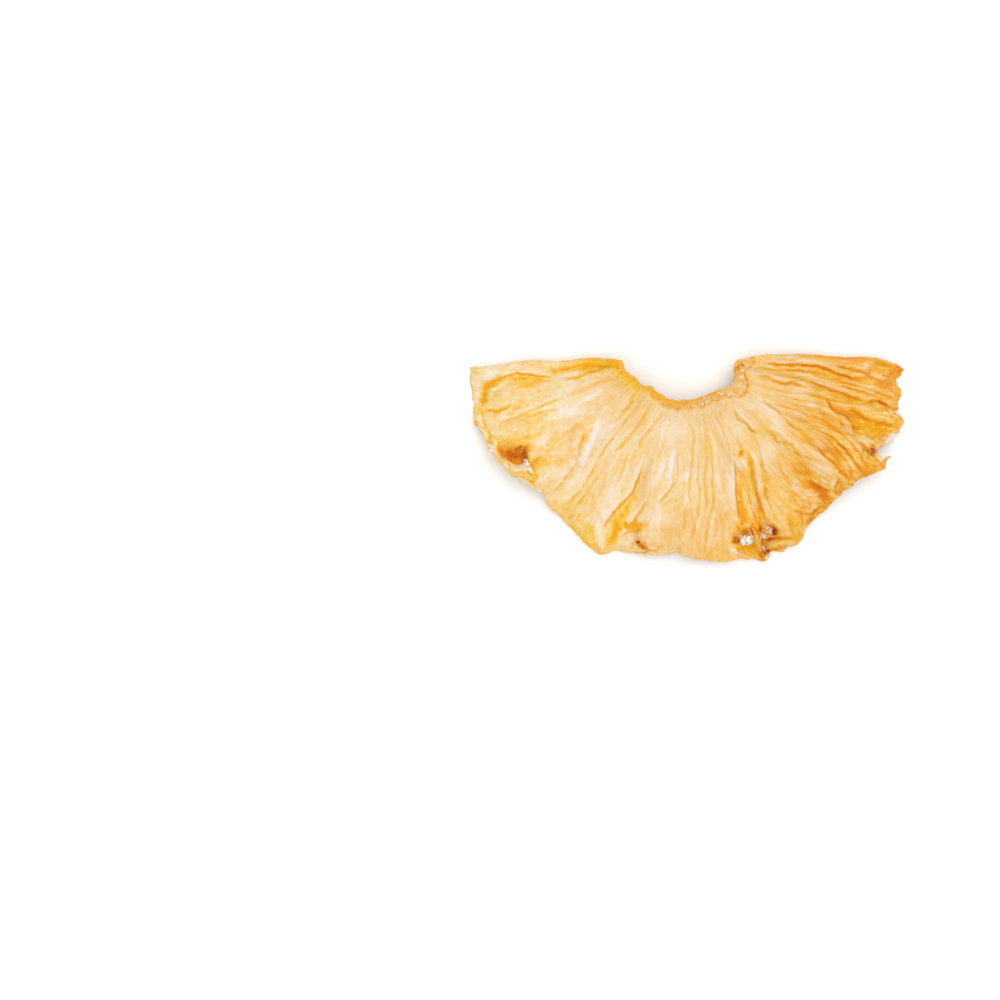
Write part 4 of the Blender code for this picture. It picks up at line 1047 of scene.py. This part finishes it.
# name: half width, half thickness, tone, warmth, points with their height over the flesh
strands = dict(
    eyeBridge=(0.1, 0.07, 0.64, 0.8, (-35.7, 0.6, 0.1), (-35.2, 1, 0.7), (-34.6, 1.5, 0.9),
        (-34, 2.2, 0.2)),
    eyeBridgeLow=(0.07, 0.05, 0.6, 0.7, (-36.6, 1.4, 0.1), (-35.8, 1.3, 0.6), (-35, 1.7, 0.7),
        (-34.4, 2.4, 0.1)),
    eyeHair=(0.05, 0.04, 0.55, 0.6, (-35.2, 0, 0.1), (-34.7, 0.9, 0.8), (-34.4, 1.9, 0.6),
        (-34.5, 2.8, 0.1)),
    eyeLash=(0.06, 0.05, 0.25, 0.4, (-33.5, 1.9, 0.2), (-32.8, 2, 0.3), (-32.1, 1.8, 0.1)),
    stubA=(0.08, 0.06, 0.12, 0.2, (-40.4, 2.8, 0.1), (-40.8, 3.6, 0.5), (-40.6, 4.6, 0.3)),
    stubC=(0.13, 0.1, 0.08, 0.2, (-40.5, 0.8, 0.1), (-40.9, 0.2, 0.4), (-40.9, -0.5, 0.3)),
    stubD=(0.09, 0.07, 0.15, 0.4, (-39.4, -0.3, 0.1), (-39.9, -1, 0.4), (-39.6, -1.6, 0.2)),
    skinStrip=(0.2, 0.08, 0.34, 0.2, (-38.2, 0.2, 0.1), (-37.4, -0.8, 0.35), (-36.2, -1.5, 0.35),
        (-34.8, -2, 0.1)),
    lowStrip=(0.16, 0.08, 0.18, 0.2, (-36.2, -3.2, 0.1), (-34.8, -4.2, 0.3), (-33.2, -5, 0.3),
        (-31.4, -6.4, 0.1)),
    fringeA=(0.08, 0.06, 0.15, 0.3, (-31.8, -5.6, 0.2), (-31.2, -6.4, 0.5), (-31.2, -7.3, 0.4)),
    fringeB=(0.07, 0.05, 0.18, 0.3, (-31.2, -5.9, 0.2), (-30.5, -6.7, 0.5), (-30.1, -7.6, 0.4)),
    strayA=(0.08, 0.06, 0.66, 0.6, (-24.8, -12.6, 0.1), (-24.1, -12.1, 0.4), (-23.3, -11.5, 0.1)),
    strayB=(0.07, 0.05, 0.2, 0.3, (-24.2, -12.8, 0.1), (-23.9, -12.2, 0.4), (-24, -11.4, 0.1)),
    ochre=(0.36, 0.12, 0.66, 0.35, (13.6, -14.4, 0.1), (14.2, -15.7, 0.8), (14.5, -17.2, 1),
        (15.1, -18.6, 0.7), (15.7, -19.6, 0.2)),
    ochreSide=(0.16, 0.09, 0.4, 0.3, (15.5, -15.6, 0.1), (15.5, -16.3, 0.7), (15.1, -17.4, 0.8),
        (15.5, -18.8, 0.2)),
    lipTongue=(0.42, 0.15, 0.54, 0.4, (22.4, -17.3, 0.1), (20, -17.5, 0.35), (17.9, -18.2, 0.4),
        (16.9, -18.9, 0.1)),
    bowlStrand=(0.12, 0.08, 0.36, 0.4, (12.8, -14.2, 0.1), (13, -15.4, 0.6), (13.8, -16.8, 0.9),
        (13.9, -18.2, 0.4)),
    midSpikeA=(0.12, 0.07, 0.88, 0.9, (10.9, -16.3, 0.1), (10.1, -16.6, 0.5), (9.3, -16.4, 0.3)),
    midSpikeB=(0.12, 0.07, 0.8, 0.9, (11.2, -17, 0.1), (10.3, -17.1, 0.5), (9.4, -17.2, 0.2)),
    midSpikeC=(0.08, 0.05, 0.7, 0.9, (11, -17.8, 0.1), (10.3, -17.7, 0.4), (9.8, -17.9, 0.2)),
    overlapA=(0.09, 0.06, 0.4, 0.3, (18.6, -16.4, 0.3), (17.6, -16.3, 0.6), (16.7, -16.8, 0.6),
        (16, -17.6, 0.1)),
    overlapB=(0.12, 0.07, 0.75, 0.8, (17.4, -18.4, 0.3), (16.7, -18, 0.6), (15.9, -18.2, 0.2)),
    smallEyeA=(0.12, 0.08, 0.7, 0.7, (-9.6, -17.5, 0.1), (-9, -18, 0.4), (-8.2, -18.3, 0.2)),
    smallEyeB=(0.1, 0.07, 0.85, 0.9, (-9.9, -17.9, 0.1), (-9.2, -18.5, 0.3), (-8.9, -19.2, 0.1)),
    smallEyeC=(0.09, 0.06, 0.35, 0.5, (-10.8, -16.8, 0.1), (-10.1, -16.5, 0.4), (-9.4, -16.7, 0.2)),
    toothA=(0.34, 0.16, 0.62, 0.8, (40.4, -1.6, 0.1), (41, -0.6, 0.2), (41.5, 0, 0.2), (42.3, 0.4, 0.1)),
    toothB=(0.14, 0.1, 0.6, 0.7, (40.2, -2.2, 0.1), (40.9, -1.6, 0.1), (41.4, -0.9, 0)),
    tornB=(0.12, 0.08, 0.05, 0.2, (40.8, 3, 0.2), (42, 3.3, 0.4), (43, 4.1, 0.1)),
)


def strandShape(points, halfWidth, halfThick, sides=8):  # a flat tapered fibre, closed at both ends
    path = smoothCurve(points, 0.16)
    for i, (x, y, lift) in enumerate(path):
        path[i, 2] = surfaceAt(x, y)[2] + lift
    run = np.gradient(path, axis=0)
    across = np.stack([-run[:, 1], run[:, 0], np.zeros(len(run))], axis=1)
    across /= np.linalg.norm(across, axis=1, keepdims=True)
    up = np.cross(run, across)
    up /= np.linalg.norm(up, axis=1, keepdims=True)
    t = np.linspace(0.0, 1.0, len(path))
    taper = np.clip(np.sin(math.pi * np.clip(t, 0.03, 0.97)), 0.0, 1.0) ** 0.45
    turn = np.arange(sides) * 2.0 * math.pi / sides
    ring = (np.cos(turn)[None, :, None] * across[:, None] * halfWidth
            + np.sin(turn)[None, :, None] * up[:, None] * halfThick)
    tube = (path[:, None] + ring * taper[:, None, None]).reshape(-1, 3)
    shape = np.vstack([tube, path[:1], path[-1:]])
    faces = []
    for i in range(len(path) - 1):
        for j in range(sides):
            a, b = i * sides + j, i * sides + (j + 1) % sides
            faces += [(a, b, b + sides), (a, b + sides, a + sides)]
    for j in range(sides):
        last = (len(path) - 1) * sides
        faces += [(len(tube), (j + 1) % sides, j), (len(tube) + 1, last + j, last + (j + 1) % sides)]
    return shape, np.array(faces)


tufts = dict(  # loose fibres round a pit: middle, reach, count, length, half width, tone, warmth
    leftEye=((-36, 0.8), 2.5, 10, 1.1, 0.04, 0.55, 0.6),
    leftFlap=((-34, -3.2), 1.3, 9, 1.1, 0.04, 0.3, 0.3),
    smallEye=((-10, -17.4), 1.1, 10, 0.8, 0.05, 0.5, 0.6),
    smallEyeRim=((-8.6, -18.6), 1.1, 8, 0.9, 0.05, 0.55, 0.7),
    midLeft=((11.6, -16.6), 1.9, 16, 1.2, 0.045, 0.6, 0.6),
    midRight=((17.4, -16), 1.9, 14, 1.2, 0.045, 0.6, 0.6),
    low=((16.4, -19.8), 1.5, 18, 1.1, 0.045, 0.5, 0.8),
    torn=((37.8, 2), 1.1, 7, 1, 0.055, 0.6, 0.6),
    tornWhite=((41, 4.9), 1, 5, 0.9, 0.05, 0.16, 0.3),
)
rimFringe = dict(  # start and end in degrees, count, length, half width, tone, warmth
    left=(-84, -30, 40, 0.5, 0.04, 0.35, 0.2),
    bottom=(-30, 16, 60, 0.7, 0.045, 0.35, 0.4),
    right=(16, 80, 64, 0.55, 0.06, 0.55, 0.7),
)


def tuftStrands(draw):
    for (atX, atY), reach, count, length, halfWidth, shade, heat in tufts.values():
        for _ in range(count):
            way = draw.uniform(0.0, 2.0 * math.pi)
            turn = way + draw.normal(math.pi if draw.random() < 0.6 else 0.0, 0.9)
            size = length * draw.uniform(0.5, 1.3)
            root = np.array([atX + reach * draw.uniform(0.6, 1.1) * math.cos(way),
                             atY + reach * draw.uniform(0.6, 1.1) * math.sin(way)])
            step = 0.5 * size * np.array([math.cos(turn), math.sin(turn)])
            side = draw.normal(0.0, 0.25) * size * np.array([-math.sin(turn), math.cos(turn)])
            points = [(*root, 0.0), (*(root + step + side), draw.uniform(0.1, 0.5)),
                      (*(root + 2.0 * step), draw.uniform(0.0, 0.4))]
            tint = shade + draw.uniform(-0.2, 0.25)
            wide = halfWidth * draw.uniform(0.6, 1.8)
            yield (*strandShape(points, wide, 0.7 * halfWidth, sides=5), tint, heat)


def fringeStrands(draw):
    rootRow, insideRow = lattice["rows"] - 9, lattice["rows"] - 14
    for start, end, count, length, halfWidth, shade, heat in rimFringe.values():
        for _ in range(count):
            angle = draw.uniform(start, end)
            column = int(np.argmin(np.abs(lat["angle"][0] - angle)))
            root, inside = top[rootRow, column], top[insideRow, column]
            lean = draw.normal(0.0, 0.5)
            outward = (root - inside) / np.linalg.norm(root - inside)
            side = np.array([-outward[1], outward[0], 0.0])
            size = length * draw.uniform(0.4, 1.5)
            tip = root[:2] + (outward * (0.5 + size) + side * lean * size)[:2]
            bend = root[:2] + (outward * (0.3 + 0.5 * size) + side * 0.2 * lean * size)[:2]
            points = [(*root[:2], -0.02), (*bend, 0.02), (*tip, draw.uniform(-0.1, 0.3))]
            wide = halfWidth * draw.uniform(0.7, 1.6)
            tint = shade + draw.uniform(-0.15, 0.15)
            yield (*strandShape(points, wide, 0.7 * wide, sides=5), tint, heat)


def placeStrands():
    draw = np.random.default_rng(seeds["fibres"])
    shapes = []
    for halfWidth, halfThick, shade, heat, *points in strands.values():
        shapes.append((*strandShape(points, halfWidth, halfThick), shade, heat))
    shapes += [*tuftStrands(draw), *fringeStrands(draw)]
    points = np.vstack([shape for shape, _, _, _ in shapes])
    starts = np.cumsum([0] + [len(shape) for shape, _, _, _ in shapes])
    triangles = np.vstack([faces + start for (_, faces, _, _), start in zip(shapes, starts)])
    values = dict(
        tone=np.concatenate([np.full(len(shape), shade) for shape, _, shade, _ in shapes]),
        warm=np.concatenate([np.full(len(shape), heat) for shape, _, _, heat in shapes]),
    )
    points[:, 2] = np.maximum(points[:, 2], 0.02)  # no fibre goes into the table
    return buildPiece("loose_fibres", points, triangles, values, {})


# Shader helpers

def srgb(red, green, blue, light=1.0):  # light is how much brighter the studio shows it
    linear = []
    for part in (red, green, blue):
        part /= 255.0
        linear.append((part / 12.92 if part <= 0.04045 else ((part + 0.055) / 1.055) ** 2.4) / light)
    return (*linear, 1.0)


def toned(*stops):  # stops of a colour ramp, as they should look on the table
    return [(place, srgb(*colour, light=1.16)) for place, colour in stops]


class Nodes:  # short calls for the nodes of one tree
    def __init__(self, tree):
        self.tree = tree

    def add(self, kind, **settings):
        node = self.tree.nodes.new(kind)
        for name, value in settings.items():
            setattr(node, name, value)
        return node

    def put(self, socket, value):
        if hasattr(value, "is_linked"):
            self.tree.links.new(value, socket)
        else:
            socket.default_value = value

    def math(self, operation, a, b=0.0, clamp=False):
        node = self.add("ShaderNodeMath", operation=operation, use_clamp=clamp)
        self.put(node.inputs[0], a)
        self.put(node.inputs[1], b)
        return node.outputs[0]

    def times(self, a, b, clamp=False):
        return self.math("MULTIPLY", a, b, clamp)

    def plus(self, a, b, clamp=False):
        return self.math("ADD", a, b, clamp)

    def mix(self, factor, a, b):
        node = self.add("ShaderNodeMix", data_type="RGBA")
        self.put(node.inputs["Factor"], factor)
        self.put(node.inputs["A"], a)
        self.put(node.inputs["B"], b)
        return node.outputs["Result"]

    def remap(self, value, low, high, newLow=0.0, newHigh=1.0):
        node = self.add("ShaderNodeMapRange")
        for socket, number in zip(node.inputs, (value, low, high, newLow, newHigh)):
            self.put(socket, number)
        return node.outputs[0]

    def noise(self, vector, scale, detail=3.0, roughness=0.55, distortion=0.0):
        node = self.add("ShaderNodeTexNoise")
        self.put(node.inputs["Vector"], vector)
        for name, value in (("Scale", scale), ("Detail", detail), ("Roughness", roughness),
                            ("Distortion", distortion)):
            self.put(node.inputs[name], value)
        return node.outputs["Fac"]

    def ramp(self, factor, stops):
        node = self.add("ShaderNodeValToRGB")
        self.put(node.inputs["Fac"], factor)
        for i, (place, colour) in enumerate(stops):
            stop = node.color_ramp.elements[i] if i < 2 else node.color_ramp.elements.new(place)
            stop.position = place
            stop.color = colour
        return node.outputs["Color"]

    def attribute(self, name):
        return self.add("ShaderNodeAttribute", attribute_name=name).outputs["Fac"]

    def bump(self, height, strength, distance):
        node = self.add("ShaderNodeBump")
        for name, value in (("Height", height), ("Strength", strength), ("Distance", distance)):
            self.put(node.inputs[name], value)
        return node.outputs["Normal"]

    def group(self, tree, **values):
        node = self.add("ShaderNodeGroup", node_tree=tree)
        for name, value in values.items():
            self.put(node.inputs[name], value)
        return node.outputs


def startGroup(name, numbers, results):
    tree = bpy.data.node_groups.new(name, "ShaderNodeTree")
    tree.interface.new_socket(name="Vector", in_out="INPUT", socket_type="NodeSocketVector")
    for label, value in numbers.items():
        socket = tree.interface.new_socket(name=label, in_out="INPUT", socket_type="NodeSocketFloat")
        socket.default_value = value
    for label in results:
        tree.interface.new_socket(name=label, in_out="OUTPUT", socket_type="NodeSocketFloat")
    nodes = Nodes(tree)
    return tree, nodes, nodes.add("NodeGroupInput").outputs, nodes.add("NodeGroupOutput").inputs


def makeFibreGrain():  # thin streaks that run along the second axis of the coordinates
    numbers = dict(Scale=10.0, Stretch=8.0, Amount=1.0, Line=0.2)
    tree, n, ins, outs = startGroup("fibreGrain", numbers, ("Streak", "Line", "Height"))
    combine = n.add("ShaderNodeCombineXYZ")
    n.put(combine.inputs["X"], ins["Scale"])
    n.put(combine.inputs["Y"], n.math("DIVIDE", ins["Scale"], ins["Stretch"]))
    n.put(combine.inputs["Z"], ins["Scale"])
    scaled = n.add("ShaderNodeVectorMath", operation="MULTIPLY")
    n.put(scaled.inputs[0], ins["Vector"])
    n.put(scaled.inputs[1], combine.outputs[0])
    fine = n.noise(scaled.outputs[0], 1.0, detail=4.0, roughness=0.62, distortion=0.35)
    centred = n.math("SUBTRACT", fine, 0.5)
    ridge = n.math("ABSOLUTE", centred)
    n.put(outs["Streak"], n.times(centred, ins["Amount"]))
    n.put(outs["Line"], n.times(n.remap(ridge, 0.0, 0.05, 1.0, 0.0), ins["Line"]))
    n.put(outs["Height"], n.times(ridge, 4.0))
    return tree


def makeSugarDust():  # pale specks of dried juice
    tree, n, ins, outs = startGroup("sugarDust", dict(Scale=1000.0, Amount=0.3), ("Mask",))
    cells = n.add("ShaderNodeTexVoronoi", feature="F1")
    n.put(cells.inputs["Vector"], ins["Vector"])
    n.put(cells.inputs["Scale"], ins["Scale"])
    dots = n.remap(cells.outputs["Distance"], 0.12, 0.34, 1.0, 0.0)
    patchy = n.remap(n.noise(ins["Vector"], n.times(ins["Scale"], 0.12)), 0.48, 0.66)
    n.put(outs["Mask"], n.times(n.times(dots, patchy), ins["Amount"], clamp=True))
    return tree


def setInputs(node, values):
    for label, value in values.items():
        node.inputs[label].default_value = value


def newMaterial(name, values):
    material = bpy.data.materials.new(name)
    material.use_nodes = True
    shader = material.node_tree.nodes["Principled BSDF"]
    setInputs(shader, values)
    return material, Nodes(material.node_tree), shader


# Flesh

flesh = dict(
    orangeTones=toned((0.00, (249, 231, 214)), (0.20, (248, 218, 178)), (0.40, (247, 203, 135)),
                      (0.58, (246, 186, 78)), (0.74, (240, 158, 26)), (0.86, (216, 110, 8)),
                      (0.94, (178, 70, 6)), (1.00, (104, 36, 10))),
    yellowTones=toned((0.00, (250, 236, 212)), (0.20, (249, 225, 174)), (0.40, (249, 211, 126)),
                      (0.58, (249, 198, 60)), (0.74, (245, 176, 8)), (0.86, (224, 126, 4)),
                      (0.94, (180, 78, 4)), (1.00, (104, 40, 8))),
    # lilac is the pale colour that whiteness mixes in: the flesh's own paleness and painted sheen
    lilac=srgb(244, 234, 230, light=1.07), whiteness=0.7, lineTone=0.70, roughness=(0.42, 0.62),
    shader={"Subsurface Weight": 0.5, "Subsurface Radius": (1.0, 0.50, 0.20), "Subsurface Scale": 0.0009,
            "Specular IOR Level": 0.14, "Coat Weight": 0.02, "Coat Roughness": 0.3},
    fineStreaks=dict(Scale=12.0, Stretch=8.0, Amount=0.50, Line=0.42),
    hairStreaks=dict(Scale=36.0, Stretch=11.0, Amount=0.42, Line=0.24),
    dust=dict(Scale=2600.0, Amount=0.22),
    cloudScale=1300.0, sheenScale=420.0, grainScale=3200.0, bump=0.8, bumpDepth=0.00018,
)


def fleshColour(n, tone, warm):
    return n.mix(warm, n.ramp(tone, flesh["yellowTones"]), n.ramp(tone, flesh["orangeTones"]))


def makeFleshMaterial(fibreGrain, sugarDust):
    material, n, shader = newMaterial("dried_flesh", flesh["shader"])
    fibres = n.add("ShaderNodeUVMap", uv_map="fibres").outputs["UV"]
    place = n.add("ShaderNodeTexCoord").outputs["Object"]
    fine = n.group(fibreGrain, Vector=fibres, **flesh["fineStreaks"])
    hair = n.group(fibreGrain, Vector=fibres, **flesh["hairStreaks"])
    cloud = n.noise(place, flesh["cloudScale"], detail=4.0, roughness=0.65, distortion=0.4)
    cloud = n.math("SUBTRACT", cloud, 0.5)
    fibrous, tone = n.attribute("fibrous"), n.attribute("tone")
    room = n.times(fibrous, n.remap(tone, 0.55, 0.78, 1.0, 0.15))  # gold takes no streaks
    streaks = n.times(n.plus(fine["Streak"], hair["Streak"]), room)
    spots = n.times(cloud, n.remap(fibrous, 0.2, 0.8, 0.60, 0.22))
    spots = n.times(spots, n.remap(tone, 0.60, 0.80, 1.0, 0.25))
    tone = n.plus(tone, n.plus(streaks, spots))
    line = n.times(n.math("MAXIMUM", fine["Line"], hair["Line"]), fibrous)
    toGold = n.math("MAXIMUM", n.math("SUBTRACT", flesh["lineTone"], tone), 0.0)
    tone = n.plus(tone, n.times(toGold, line))
    colour = fleshColour(n, tone, n.plus(n.attribute("warm"), n.times(cloud, 0.8), clamp=True))
    dust = n.group(sugarDust, Vector=place, **flesh["dust"])
    # paleness lays the lilac-white over the colour: sugar dust, the flesh's own pale streaks and painted
    # sheen
    streaky = n.remap(fine["Streak"], -0.12, 0.12, 1.25, 0.6)
    paleness = n.times(n.times(n.attribute("white"), flesh["whiteness"]), streaky)
    paleness = n.math("MAXIMUM", paleness, dust["Mask"])
    n.put(shader.inputs["Base Color"], n.mix(paleness, colour, flesh["lilac"]))
    sheen = n.noise(place, flesh["sheenScale"], detail=2.0)
    n.put(shader.inputs["Roughness"], n.remap(sheen, 0.3, 0.7, *flesh["roughness"]))
    height = n.times(n.plus(n.times(fine["Height"], 0.6), n.times(hair["Height"], 0.25)), fibrous)
    height = n.plus(height, n.times(n.noise(place, flesh["grainScale"]), 0.5))
    n.put(shader.inputs["Normal"], n.bump(height, flesh["bump"], flesh["bumpDepth"]))
    return material


small = dict(  # crumbs and loose fibres
    gold=srgb(250, 176, 48), pale=srgb(255, 249, 240), rosy=srgb(250, 214, 184),
    shader={"Roughness": 0.5, "Subsurface Weight": 0.3, "Subsurface Radius": (1.0, 0.50, 0.20),
            "Subsurface Scale": 0.0003},
)


def makeCrumbMaterial():
    material, n, shader = newMaterial("dried_juice", small["shader"])
    pale = n.mix(n.times(n.attribute("rosy"), 0.6), small["pale"], small["rosy"])
    n.put(shader.inputs["Base Color"], n.mix(n.attribute("pale"), small["gold"], pale))
    return material


def makeStrandMaterial():
    material, n, shader = newMaterial("loose_fibre", small["shader"])
    n.put(shader.inputs["Base Color"], fleshColour(n, n.attribute("tone"), n.attribute("warm")))
    return material


# Floor, light and camera

studio = dict(
    floorSize=6.0, floorDrop=0.00003, world={"Color": (1.0, 0.995, 0.99, 1.0), "Strength": 0.62},
    floor={"Base Color": (0.94, 0.94, 0.945, 1.0), "Roughness": 0.9, "Specular IOR Level": 0.1},
    lights=dict(  # place, size, power
        key=((0.22, 0.40, 1.00), 1.20, 5.8),
        fill=((-0.25, -0.50, 1.1), 1.4, 5.4),
    ),
)
view = dict(pixel=0.21, place=(-39.06, -8.7), lens=85.0, sensor=36.0, frame=1000)


def makeStudio():
    mesh = bpy.data.meshes.new("floor")
    floor = addObject("floor", mesh)
    bm = bmesh.new()
    bmesh.ops.create_grid(bm, x_segments=1, y_segments=1, size=0.5 * studio["floorSize"])
    bm.to_mesh(mesh)
    bm.free()
    floor.location.z = -studio["floorDrop"]
    mesh.materials.append(newMaterial("pale_floor", studio["floor"])[0])

    world = bpy.data.worlds.new("paleStudio")
    bpy.context.scene.world = world
    world.use_nodes = True
    setInputs(world.node_tree.nodes["Background"], studio["world"])
    for name, (place, size, power) in studio["lights"].items():
        lamp = bpy.data.lights.new(name + "Light", "AREA")
        lamp.shape = "DISK"
        lamp.size = size
        lamp.energy = power
        light = addObject(name + "Light", lamp)
        light.location = place
        light.rotation_euler = Vector(place).to_track_quat("Z", "Y").to_euler()
    bpy.context.scene.view_settings.view_transform = "Standard"


def makeCamera():
    data = bpy.data.cameras.new("camera")
    data.lens = view["lens"]
    data.sensor_width = view["sensor"]
    data.clip_start = 0.01
    camera = addObject("camera", data)
    wide = view["pixel"] * view["frame"]
    away = wide * view["lens"] / view["sensor"]
    camera.location = (view["place"][0] * mm, view["place"][1] * mm, away * mm)
    bpy.context.scene.camera = camera


makeStudio()
makeCamera()
fibreGrain = makeFibreGrain()
sugarDust = makeSugarDust()
slicePiece = makeSlice()
slicePiece.data.materials.append(makeFleshMaterial(fibreGrain, sugarDust))
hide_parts(cadNode)
crumbMaterial = makeCrumbMaterial()
for piece in (placeCoreGrain(), placeCrumbs()):
    piece.data.materials.append(crumbMaterial)
placeStrands().data.materials.append(makeStrandMaterial())


print("all pieces made")
